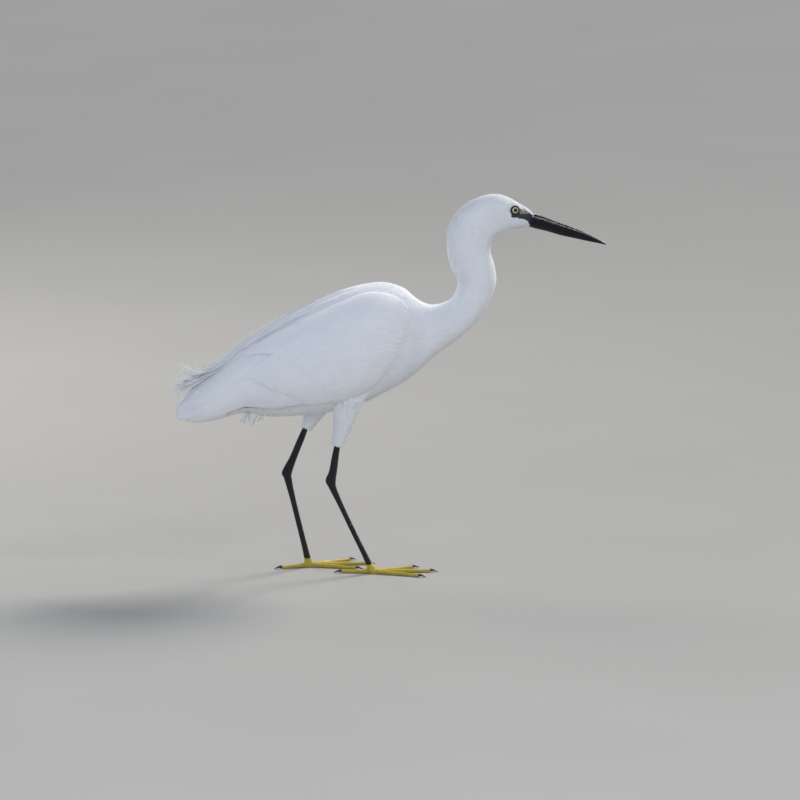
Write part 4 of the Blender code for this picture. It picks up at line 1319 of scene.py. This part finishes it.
def off_face_or_over_bill(centres, depth):
    """Tufts that keep clear of the bare face, or lie over the root of the bill."""
    ahead = centres[:, :, 0] > 0.1497
    high = centres[:, :, 2] > 0.3715 - (centres[:, :, 0] - 0.152) * 0.45
    return np.all((depth < 0.4) | (ahead & high), axis=1)


class EgretHeadCoat(bpy.types.Operator):
    """Short close feathers of the head and the longer ones of the neck"""

    bl_idname = "egret.head_coat"
    bl_label = "Head and neck feathers"

    def execute(self, context):
        random = dice(0)
        material = plumage_finish("head_feathers", 7.0, depth=0.00008)
        nape = spread(NECK_FORM, (9.6, 15.3), ALL_ROUND, (1.15 * MM, 0.72 * MM), random)
        nape = nape[nape[:, 0] > 10.9 + random.uniform(-1.3, 1.3, len(nape))]
        crown = spread(NECK_FORM, (15.2, 19.98), ALL_ROUND, (0.95 * MM, 0.56 * MM), random)
        for name, starts in (("coat_nape", nape), ("coat_head", crown)):
            values = {"yaw": 0.12, "thick": 0.00013, "keep": off_face, **at_starts(HEAD_TUFTS, starts)}
            finish_piece(grow_coat(name, NECK_FORM, starts, random, **values), material)
        finish_piece(self.grow_forehead_point(random), material)
        finish_piece(self.grow_nape_fringe(random), material)
        material = plumage_finish("neck_feathers", 7.0, depth=0.00012)
        for name, start, end in (("coat_neck_upper", 19.2, 27.9), ("coat_neck_lower", 13.6, 19.4)):
            starts = spread(OUTER_FORM, (start, end), ALL_ROUND, (1.6 * MM, 0.95 * MM), random)
            starts = starts[starts[:, 0] > 14.6 + random.uniform(-0.9, 0.9, len(starts))]
            starts = starts[starts[:, 0] < 27.0 + random.uniform(-1.0, 0.9, len(starts))]
            values = {"sink": 0.0014, "lift": 0.0002, "yaw": 0.09, "thick": 0.00016}
            values.update(at_starts(NECK_TUFTS, starts))
            finish_piece(grow_coat(name, OUTER_FORM, starts, random, **values), material)
        return {"FINISHED"}

    def grow_forehead_point(self, random):
        """The feathers that reach forward in a point on each side of the bill's root."""
        starts = spread(BROW_FORM, (19.3, 20.95), ALL_ROUND, (0.5 * MM, 0.36 * MM), random)
        turn = off_back(starts[:, 1])
        ahead = starts[:, 0] - 20.0
        wedge = np.abs(turn - 36) < 30 * (1 - ahead / 0.95)
        starts = starts[np.where(ahead > 0.1, wedge, turn < 62)]
        values = {"length": 0.0042, "width": 0.0003, "sink": 0.0005, "lift": 0.0003, "yaw": 0.09}
        values.update(thick=0.00013, keep=off_face_or_over_bill)
        return grow_coat("coat_forehead", BROW_FORM, starts, random, **values)

    def grow_nape_fringe(self, random):
        """A few loose tufts that stand off the nape."""
        starts = spread(NECK_FORM, (10.6, 15.9), (-0.68, 0.68), (2.6 * MM, 1.5 * MM), random)
        length = 0.0095 + 0.004 * (16.6 - starts[:, 0]) / 6
        lift = 0.0011 * np.cos(2.2 * starts[:, 1]) * smooth_step((15.9 - starts[:, 0]) / 1.5)
        values = {"width": 0.00036, "sink": 0.0009, "yaw": 0.2, "thick": 0.00012, "loose": 0.55, "tip": 1.5}
        return grow_coat("plumes_nape", NECK_FORM, starts, random, length=length, lift=lift, **values)


class EgretBodyCoat(bpy.types.Operator):
    """Feathers of the breast, back, shoulders and belly, and the short ones of the thighs"""

    bl_idname = "egret.body_coat"
    bl_label = "Body feathers"

    def execute(self, context):
        random = dice(1)
        material = plumage_finish("body_feathers", 9.0, depth=0.00016)
        starts = spread(OUTER_FORM, (0.9, 14.9), ALL_ROUND, (2.3 * MM, 1.6 * MM), random)
        place = ROOT - starts[:, 0]
        turn = off_back(starts[:, 1])
        forward, down = wing_place(place, turn)
        covered = (forward > 0.045) & (down > 0.1) & (down < 0.97)
        low_end = (turn > 100) & (place > 11.4)
        high_end = (turn < 60) & (place > 12.6)
        shown = ~(covered | low_end | high_end)
        back = np.interp(place, (2.0, 5.0, 9.0), (0.0, 0.6, 1.0))
        cover = smooth_step((forward + 0.02) / 0.08) * smooth_step((1.0 - down) / 0.06) * back
        for name, chosen in (("coat_back", (turn < 75) & shown), ("coat_belly", (turn >= 75) & shown)):
            length = (14.5 + 9.0 * (back * (turn < 40))[chosen]) * MM
            width = (1.5 + 0.6 * cover[chosen]) * MM
            lift = (0.2 + 0.45 * cover[chosen]) * MM
            values = {"yaw": 0.08, "camber": 0.24, "thick": 0.00018, "loose": 0.2}
            coat = grow_coat(name, OUTER_FORM, starts[chosen], random, length, width, 0.0012, lift, **values)
            finish_piece(coat, material)
        for side, form in THIGH_FORMS.items():
            last = len(form.rows) - 1.0
            starts = spread(form, (0.15, last - 0.45), ALL_ROUND, (1.5 * MM, 0.95 * MM), random)
            length = np.interp(starts[:, 0], (0, last - 2, last), (0.011, 0.0085, 0.0040))
            values = {"width": 0.0009, "sink": 0.0011, "lift": 0.0002, "yaw": 0.12, "thick": 0.00015}
            coat = grow_coat("coat_thigh_" + side, form, starts, random, length, sense=1, **values)
            finish_piece(coat, material)
            finish_piece(self.lay_flank(form, side, random), material)
        return {"FINISHED"}

    def lay_flank(self, form, side, random):
        """Locks from under the wing's lower edge that hang over the top of a thigh and hide its rim."""
        count, rows = 760, 8
        sign = SIDES[side]
        aside = random.uniform(-1.15, 1.15, count)
        low = 0.9 + 2.9 * random.uniform(0, 1, count) ** 1.3
        turn = np.arccos(np.clip(aside, -0.97, 0.97)) * sign
        ends = form.lifted(low, turn, random.uniform(0.1, 0.5, count) * MM)
        places = np.linspace(0, ROOT, 200)
        for_x = OUTER_FORM.point(ROOT - places, np.full(200, math.radians(138) * sign))
        order = np.argsort(for_x[:, 0])
        place = np.interp(ends[:, 0] + 0.006 + 0.0025 * (3.1 - low), for_x[order, 0], places[order])
        turn = np.radians(random.uniform(135, 141, count)) * sign
        tops = OUTER_FORM.lifted(ROOT - place, turn, np.full(count, -0.0016))
        bends = 0.5 * (tops + ends) + np.array((0.0, 0.0014 * sign, 0.0))
        first = random.uniform(0.0, 0.6, (count, 1, 1))
        share = first + (0.3 + 0.1 * first) * toward_tip(rows)[None, :, None]
        centres = tops[:, None] * (1 - share) ** 2 + bends[:, None] * 2 * share * (1 - share)
        centres = centres + ends[:, None] * share**2
        normals = np.zeros((count, rows, 3))
        normals[:, :, 1] = sign
        normals[:, :, 0] = 0.5 * np.clip(aside, -1, 1)[:, None] * share[:, :, 0]
        normals[:, :, 2] = -0.35 * (1 - share[:, :, 0])
        sunk = -0.9 * (1 - np.minimum(toward_tip(rows) / 0.5, 1.0)) + random.uniform(0.0, 0.3, (count, 1))
        centres[:, :, 1] += sign * sunk * MM
        half = 0.0008 * blade(toward_tip(rows), 0.5, 0.7)[None, :] * random.uniform(0.7, 1.15, (count, 1))
        seats = np.stack((0.1 + 0.35 * (aside + 1.15), 0.22 * low), axis=1)
        return lay_vanes("coat_flank_" + side, centres, unit(normals), half, 0.0002, 0.2, 3, seats, random)


# Wings: tiers of vanes. Each tier: number of vanes, root of the first and of the last on the wing, tip
# of the first and of the last, half width and height over the coverts' level, in millimetres.

TIERS = {
    "primaries": (10, (0.62, 0.98), (0.68, 0.46), (0.93, 1.12), (0.995, 0.56), 4.8, -0.9),
    "inner_primaries": (8, (0.60, 0.54), (0.62, 0.05), (1.0, 0.66), (0.985, 0.06), 5.4, -0.8),
    "secondaries": (18, (0.20, 0.93), (0.58, 0.50), (0.40, 1.02), (0.95, 0.84), 4.6, -0.5),
    "tertials": (8, (0.48, 0.52), (0.50, 0.05), (0.995, 0.62), (0.965, 0.02), 6.0, 0.0),
    "great_coverts": (18, (0.07, 0.90), (0.42, 0.34), (0.26, 0.99), (0.68, 0.50), 4.4, 0.1),
    "median_coverts": (20, (0.04, 0.82), (0.36, 0.20), (0.20, 0.94), (0.54, 0.34), 4.4, 0.3),
    "scapulars": (14, (0.16, 0.34), (0.40, 0.02), (0.46, 0.42), (0.84, 0.03), 4.8, 0.5),
}
TIER_ROWS = 14
COVERT_ROWS = 7


def blade(along, root, round_part):
    """Half width of a vane along it as a share of its greatest: a narrow root and a round tip."""
    grow = root + (1 - root) * smooth_step(along / 0.3)
    tip = np.clip((along - 1 + round_part) / round_part, 0.0, 1.0)
    return grow * np.maximum(np.sqrt(np.maximum(1 - tip * tip, 0.0)), 0.06)


def toward_tip(rows):
    """Places along a vane from 0 to 1, closer together at its tip."""
    return 1 - (1 - np.linspace(0, 1, rows)) ** 1.7


def lay_tier(form, side, name, random):
    """One tier of long vanes over a folded wing."""
    count, root_first, root_last, tip_first, tip_last, half, height = TIERS[name]
    share = np.linspace(0, 1, count)[:, None]
    roots = np.array(root_first) * (1 - share) + np.array(root_last) * share
    tips = np.array(tip_first) * (1 - share) + np.array(tip_last) * share
    tips = tips + random.normal(0.0, 0.003, tips.shape)
    along = toward_tip(TIER_ROWS)
    a, b = run_on(roots, tips - roots, along)
    heights = height + 0.25 * np.linspace(-1, 1, count)[:, None] + random.uniform(0, 0.1, (count, 1))
    lifts = (heights - 1.2 + 1.3 * np.minimum(along / 0.4, 1.0)) * MM
    centres, normals = follow(form, a, b - 0.018 * np.sin(math.pi * along), lifts)
    sideways = np.cross(normals, unit(np.gradient(centres, axis=1))) * form.side
    normals = unit(normals + 0.06 * sideways)
    widths = half * MM * blade(along, 0.4, 0.16)[None, :] * random.uniform(0.94, 1.06, (count, 1))
    label = "%s_%s" % (name, side)
    return lay_vanes(label, centres, normals, widths, 0.0003, 0.16, 7, unwrapped(roots), random, 0.97)


class EgretWings(bpy.types.Operator):
    """Folded wings: tiers of flight feathers and coverts, each vane over the next"""

    bl_idname = "egret.wings"
    bl_label = "Wings"

    def execute(self, context):
        material = plumage_finish("flight_feathers", 150.0, 0.15, 0.8, barbed=True, depth=0.00008)
        small = plumage_finish("wing_coverts", 34.0, 0.2, 0.4, barbed=True, depth=0.0001)
        for side, form in WING_FORMS.items():
            random = dice(20)
            tiers = [lay_tier(form, side, name, random) for name in TIERS]
            finish_piece(joined("feathers_wing_" + side, tiers), material, ("wing_" + side,))
            finish_piece(self.lay_coverts(form, side, random), small)
        return {"FINISHED"}

    def lay_coverts(self, form, side, random):
        """Round-ended small coverts in rows, like shingles, from the leading edge back."""
        starts = spread(form, (-0.012, 0.40), (0.03, 0.99), (3.4 * MM, 4.6 * MM), random, 0.12)
        limit = np.interp(starts[:, 1], (0, 0.15, 0.3, 0.55, 0.85, 1.0), (0.40, 0.36, 0.30, 0.24, 0.12, 0.06))
        starts = starts[starts[:, 0] < limit]
        count = len(starts)
        back = starts[:, 0]
        lengths = np.interp(back, (0.0, 0.06, 0.3), (0.013, 0.017, 0.023)) * random.uniform(0.94, 1.06, count)
        widths = np.interp(back, (0.0, 0.06, 0.3), (0.0026, 0.0034, 0.0042))
        slope = np.interp(starts[:, 1], (0.0, 0.5, 1.0), (0.0, 0.18, 0.3)) + random.normal(0, 0.03, count)
        along = toward_tip(COVERT_ROWS)
        sink = np.interp(back, (-0.012, 0.03), (2.2, 1.0))[:, None]
        high = np.interp(back, (0.0, 0.1), (0.45, 0.75))[:, None] + random.uniform(-0.08, 0.08, (count, 1))
        lifts = (high - sink * (1 - np.minimum(along / 0.5, 1.0)) ** 1.3) * MM
        steps = lie(form, starts, lengths, slope, 1)
        centres, normals = follow(form, *run_on(starts, steps, along), lifts)
        half = widths[:, None] * blade(along, 0.8, 0.4)
        name = "coverts_wing_" + side
        return lay_vanes(name, centres, normals, half, 0.0002, 0.12, 5, unwrapped(starts), random, 0.975)


# Tail, loose plumes of the back, and hanging locks. The tail's path is x and z, with half widths. A
# barb's widths along it are shares of its greatest.

TAIL_PATH = ((-156, 190), (-182, 179.6), (-203, 171), (-217.6, 167.6))
TAIL_SPREAD = (6, 7, 4.6, 1.2)
TAIL_COUNT = 12
TAIL_ROWS = 14
TAIL_ARCH = math.radians(68)
TAIL_FLATNESS = 0.9
RUMP_PLACES = (11.2, 11.9, 12.6)
BARB_WIDTHS = (0.8, 1.0, 0.95, 0.8, 0.55, 0.12)
PLUMES_END = -0.2285


class EgretTail(bpy.types.Operator):
    """Short square tail of twelve feathers, with the soft feathers over its root"""

    bl_idname = "egret.tail"
    bl_label = "Tail"

    def execute(self, context):
        random = dice(40)
        path = np.array(TAIL_PATH) * MM
        along = toward_tip(TAIL_ROWS)
        knots = np.linspace(0, 1, len(path))
        ranks = np.linspace(-1, 1, TAIL_COUNT)
        wide = np.interp(along, knots, np.array(TAIL_SPREAD) * MM) / math.sin(TAIL_ARCH)
        centres = np.zeros((TAIL_COUNT, TAIL_ROWS, 3))
        for index, rank in enumerate(ranks):
            angle = rank * TAIL_ARCH
            reach = along * (1.0 - 0.07 * abs(rank))
            inner = (0.3 if index % 2 else 0.0) * MM
            low = (wide - inner) * TAIL_FLATNESS * (1 - math.cos(angle)) + inner
            centres[index, :, 0] = np.interp(reach, knots, path[:, 0])
            centres[index, :, 1] = math.sin(angle) * (wide - inner)
            centres[index, :, 2] = np.interp(reach, knots, path[:, 1]) - low
        angles = ranks * TAIL_ARCH
        normals = np.stack((0.0 * angles, np.sin(angles), np.cos(angles) / TAIL_FLATNESS), axis=1)
        normals = np.repeat(unit(normals)[:, None], TAIL_ROWS, axis=1)
        widths = np.tile(4.2 * MM * blade(along, 0.6, 0.2), (TAIL_COUNT, 1))
        seats = np.stack((0.1 + 0.8 * (ranks + 1) / 2, np.full(TAIL_COUNT, 0.5)), axis=1)
        tail = lay_vanes("feathers_tail", centres, normals, widths, 0.0004, 0.12, 7, seats, random, 0.95)
        material = plumage_finish("tail_feathers", 120.0, 0.2, 1.0, barbed=True, depth=0.00008)
        finish_piece(tail, material, ("tail",))
        finish_piece(self.lay_rump(random), material)
        return {"FINISHED"}

    def lay_rump(self, random):
        """Long feathers between the wings, over the root of the tail."""
        turns = np.radians(np.linspace(-13, 13, 7))
        starts = np.array([(place, turn) for place in RUMP_PLACES for turn in turns])
        count = len(starts)
        along = toward_tip(10)
        heights = 2.2 - 1.6 * (1 - np.minimum(along / 0.4, 1.0)) + random.uniform(-0.2, 0.2, (count, 1))
        a, b = run_on(starts, np.stack((np.full(count, 2.1), 0.12 * starts[:, 1]), axis=1), along)
        centres, normals = follow(BODY_FORM, np.minimum(a, 14.85), b, heights * MM)
        half = np.tile(3.4 * MM * blade(along, 0.5, 0.3), (count, 1))
        return lay_vanes("feathers_rump", centres, normals, half, 0.0003, 0.12, 5, unwrapped(starts), random)


def reach_of(path):
    """Length along a path up to each of its points."""
    return np.concatenate(((0.0,), np.cumsum(np.linalg.norm(np.diff(path, axis=0), axis=1))))


def on_path(path, lengths):
    """Points at lengths along a path."""
    reach = reach_of(path)
    return np.stack([np.interp(lengths, reach, path[:, axis]) for axis in range(3)], axis=-1)


def smooth_path(points, count):
    """A path of evenly spaced points, rounded at its corners."""
    points = np.asarray(points, float)
    for _ in range(4):
        quarter = 0.75 * points[:-1] + 0.25 * points[1:]
        next_quarter = 0.25 * points[:-1] + 0.75 * points[1:]
        body = np.stack((quarter, next_quarter), axis=1).reshape(-1, 3)
        points = np.concatenate((points[:1], body, points[-1:]))
    return on_path(points, np.linspace(0, reach_of(points)[-1], count))


def barbs_along(name, paths, number, length, spread_out, width, random, seats, taper, start=0.0):
    """Loose plumes: many thin barbs that leave each path at a small angle.

    Paths is an array of plumes by points. Spread out is how far, in metres, a barb's tip stands off
    its path, taper how many widths a barb has at the path's start and at its end, and start the
    share of the path below which no barb leaves it.
    """
    rows = len(BARB_WIDTHS)
    curve = (np.linspace(0, 1, rows) ** 1.5)[None, :, None]
    centres, roots, firsts = [], [], []
    for path, seat in zip(paths, seats):
        total = reach_of(path)[-1]
        first = start + (1 - start) * np.sort(random.uniform(0.0, 1.0, number)) ** 0.85 * 0.9
        long = length * random.uniform(0.6, 1.1, number)
        last = np.minimum(first + long / total, 1.0)
        shares = first[:, None] + (last - first)[:, None] * np.linspace(0, 1, rows)
        turn = random.uniform(0, TURNS, number)
        out = np.stack((0.25 * np.cos(turn), np.cos(turn), np.sin(turn)), axis=1)
        out = out * random.uniform(0.3, 1.0, (number, 1)) * (0.15 + 0.85 * first[:, None] ** 1.5)
        centres.append(on_path(path, shares * total) + out[:, None] * spread_out * curve)
        roots.append(seat + np.stack((0 * first, 0.3 * first), axis=1))
        firsts.append(first)
    centres = np.concatenate(centres)
    away = np.sign(centres[:, :1, 1:2]) * np.array((0.0, 1.0, 0.0))
    normals = random.normal(0.0, 0.25, (len(centres), 1, 3)) + np.array((0.0, 0.0, 1.0)) + 0.8 * away
    normals = np.repeat(normals, rows, axis=1)
    widths = width * np.array(BARB_WIDTHS) * random.uniform(0.7, 1.25, (len(centres), 1))
    widths = widths * np.interp(np.concatenate(firsts), (0, 1), taper)[:, None]
    return lay_vanes(name, centres, normals, widths, 0.00016, 0.1, 3, np.concatenate(roots), random, 0.94)


def plume_paths(number, random):
    """Paths of the long plumes from between the shoulders, over the back and past the tail."""
    paths = []
    for index in range(number):
        aside = -1 + 2 * index / (number - 1)
        first = random.uniform(2.7, 5.2)
        places = np.linspace(first, random.uniform(11.8, 13.6), 12)
        turn = np.radians(17 + 9 * (places - first) / 8) * aside
        lift = blend_table(PLUME_HEIGHT, places) * (1 - 0.35 * aside**4) + random.uniform(-0.6, 0.2)
        lift = lift - np.interp(np.arange(12), (0, 2), (2.2, 0.0))
        body = BODY_FORM.lifted(places, turn, lift * MM)
        along = unit(body[-1] - body[-2])
        curl = random.uniform(-0.35, 1.0)
        free = random.uniform(0.030, 0.058)
        path = [body]
        for share in (0.35, 0.65, 0.85, 1.0):
            rise = curl * 0.026 * share**2.2 + 0.012 * share
            sway = aside * 0.006 * share + 0.003 * math.sin(5 * share + index)
            spot = body[-1] + along * free * share + np.array((-0.004 * share, sway, rise))
            path.append(spot[None])
        path = np.concatenate(path)
        path[:, 0] = np.maximum(path[:, 0], PLUMES_END)
        paths.append(smooth_path(path, 44))
    return np.array(paths)


class EgretPlumes(bpy.types.Operator):
    """Loose plumes of the back, hanging plumes of the breast and the soft feathers under the tail"""

    bl_idname = "egret.plumes"
    bl_label = "Plumes"

    def execute(self, context):
        random = dice(60)
        material = plumage_finish("loose_plumes", 3.0, 0.1, depth=0.00006)
        number = 26
        paths = plume_paths(number, random)
        seats = np.stack((np.linspace(0.1, 0.9, number), np.full(number, 0.3)), axis=1)
        back = barbs_along("plumes_back", paths, 124, 0.027, 0.0028, 0.00026, random, seats, (2.4, 0.45))
        finish_piece(back, material)
        loose = plume_paths(9, random)
        loose[:, :, 2] += 0.0042 * np.sin(math.pi * np.linspace(0, 1, loose.shape[1]) ** 1.6)
        loose = loose[:, 14:]
        stray = barbs_along("plumes_stray", loose, 16, 0.034, 0.0030, 0.00014, random, seats[::3], (1.2, 0.6))
        finish_piece(stray, material)
        for name, form, count, places, half_turn, fall, sense in (
            ("plumes_breast", WHOLE_FORM, 76, (16.6, 11.6), math.radians(30), (-15.0, -7.0), -1),
            ("plumes_undertail", BODY_FORM, 36, (8.6, 10.3), math.radians(36), (-7.0, -13.0), 1),
        ):
            locks = self.hanging_locks(name, form, count, places, half_turn, fall, sense, random)
            finish_piece(locks, material)
        return {"FINISHED"}

    def hanging_locks(self, name, form, number, places, half_turn, fall, sense, random):
        """Locks round the middle of the underside that lie on a form at first and then hang free."""
        paths = []
        seats = []
        for _ in range(number):
            share = random.uniform(0, 1)
            start = places[0] + (places[1] - places[0]) * share
            turn = math.pi + random.uniform(-1, 1) * half_turn
            run = sense * random.uniform(0.5, 0.8)
            lift = np.linspace(-0.8, 0.6, 5) * MM
            lying = form.lifted(start + run * np.linspace(0, 1, 5), np.full(5, turn), lift)
            size = random.uniform(0.35, 1.0)
            end = lying[-1] + np.array((fall[0] * size, math.sin(turn) * 2.0, fall[1] * size)) * MM
            paths.append(smooth_path(np.concatenate((lying, end[None])), 20))
            seats.append((0.05 + 0.9 * (turn - math.pi + half_turn) / (2 * half_turn), 0.05 + 0.6 * share))
        shape = (26, 0.016, 0.0028, 0.00026)
        return barbs_along(name, np.array(paths), *shape, random, np.array(seats), (1.2, 0.6), 0.05)


# Stage. Each light: kind, place, size (an angle for the sun), strength and colour.

VIEW_TARGET = (0.0151, 0.0, 0.1785)
FLOOR_COLOURS = (0.37, 0.36, 0.335), (0.385, 0.375, 0.35)
LIGHTS = {
    "key_light": ("SUN", (1.20, 0.95, 1.25), math.radians(20), 2.9, (1.0, 0.96, 0.90)),
    "fill_light": ("AREA", (-0.5, -2.6, 1.1), 2.4, 28.0, (0.74, 0.84, 1.0)),
    "eye_light": ("AREA", (1.40, -1.22, 1.85), 0.3, 7.0, (1.0, 0.95, 0.88)),
    "rim_light": ("AREA", (-1.1, 1.5, 1.2), 1.0, 16.0, (1.0, 0.97, 0.92)),
}
LIGHTS_WITHOUT_GLINT = ("fill_light", "rim_light")


def facing(away):
    """Turn of a camera or light that stands in a direction and looks back."""
    return (-away).to_track_quat("-Z", "Y").to_euler()


def linked(name, data):
    """An object of the scene for a camera or a light."""
    thing = bpy.data.objects.new(name, data)
    bpy.context.scene.collection.objects.link(thing)
    return thing


class EgretSet(bpy.types.Operator):
    """Pale floor, camera and soft lights"""

    bl_idname = "egret.stage"
    bl_label = "Floor, camera and lights"

    def execute(self, context):
        self.make_floor()
        self.make_camera(settings()[2])
        for name, values in LIGHTS.items():
            self.make_light(name, *values)
        world = bpy.data.worlds.new("soft_room")
        world.use_nodes = True
        background = world.node_tree.nodes["Background"].inputs
        background["Color"].default_value = (0.70, 0.80, 1.0, 1.0)
        background["Strength"].default_value = 0.40
        context.scene.world = world
        context.scene.view_settings.view_transform = "Standard"
        return {"FINISHED"}

    def make_floor(self):
        """A wide pale floor."""
        floor = added("plane", size=16.0, location=(0, 0, 0))
        floor.name = "floor"
        finish = Finish("floor_paper", FLOOR_COLOURS[0], 0.85)
        patch = finish.noise(finish.spot(), 3.0)
        finish.paint(finish.mix(finish.spread(patch, 0.3, 0.7), *FLOOR_COLOURS))
        floor.data.materials.append(finish.emboss(finish.noise(finish.spot(), 600.0), 0.0002, 0.3))

    def make_camera(self, stage):
        """The camera at the viewing angle, far off so that the view is nearly flat."""
        camera = linked("camera", bpy.data.cameras.new("camera"))
        flat = math.cos(stage.elevation)
        forward = (math.sin(stage.azimuth) * flat, -math.cos(stage.azimuth) * flat)
        away = Vector((*forward, math.sin(stage.elevation)))
        camera.location = Vector(VIEW_TARGET) + away * stage.distance
        camera.rotation_euler = facing(away)
        camera.data.lens = camera.data.sensor_width * stage.distance / stage.view_width
        camera.data.clip_end = 60.0
        bpy.context.scene.camera = camera

    def make_light(self, name, kind, place, size, strength, colour):
        """A soft light that faces the bird."""
        light = linked(name, bpy.data.lights.new(name, kind))
        if kind == "SUN":
            light.data.angle = size
        else:
            light.data.shape = "DISK"
            light.data.size = size
        light.data.energy = strength
        light.data.color = colour
        light.visible_glossy = name not in LIGHTS_WITHOUT_GLINT
        light.location = place
        light.rotation_euler = facing(light.location - Vector(VIEW_TARGET))


class EgretPanel(bpy.types.Panel):
    """The settings and pieces of the egret, in the order in which they are made"""

    bl_idname = "VIEW3D_PT_egret"
    bl_label = "Little egret"
    bl_space_type = "VIEW_3D"
    bl_region_type = "UI"
    bl_category = "Egret"

    def draw(self, context):
        for group in settings():
            box = self.layout.box()
            for name in group.bl_rna.properties.keys():
                if name not in ("rna_type", "name"):
                    box.prop(group, name)
        for operator in OPERATORS:
            self.layout.operator(operator.bl_idname)


OPERATORS = (
    EgretSet,
    EgretSkin,
    EgretFace,
    EgretEyes,
    EgretBill,
    EgretLegs,
    EgretHeadCoat,
    EgretBodyCoat,
    EgretWings,
    EgretTail,
    EgretPlumes,
)
GROUPS = (("egret_sizes", EgretSizes), ("egret_colours", EgretColours), ("egret_stage", EgretStage))


def register():
    """Adds the classes and the scene's settings."""
    for name, group in GROUPS:
        bpy.utils.register_class(group)
        setattr(bpy.types.Scene, name, PointerProperty(type=group))
    for operator in OPERATORS:
        bpy.utils.register_class(operator)
    bpy.utils.register_class(EgretPanel)


def unregister():
    """Takes the classes and settings away again."""
    bpy.utils.unregister_class(EgretPanel)
    for operator in reversed(OPERATORS):
        bpy.utils.unregister_class(operator)
    for name, group in reversed(GROUPS):
        delattr(bpy.types.Scene, name)
        bpy.utils.unregister_class(group)


def main():
    """Makes every piece."""
    register()
    for operator in OPERATORS:
        group, name = operator.bl_idname.split(".")
        getattr(getattr(bpy.ops, group), name)()


if __name__ == "__main__":
    main()
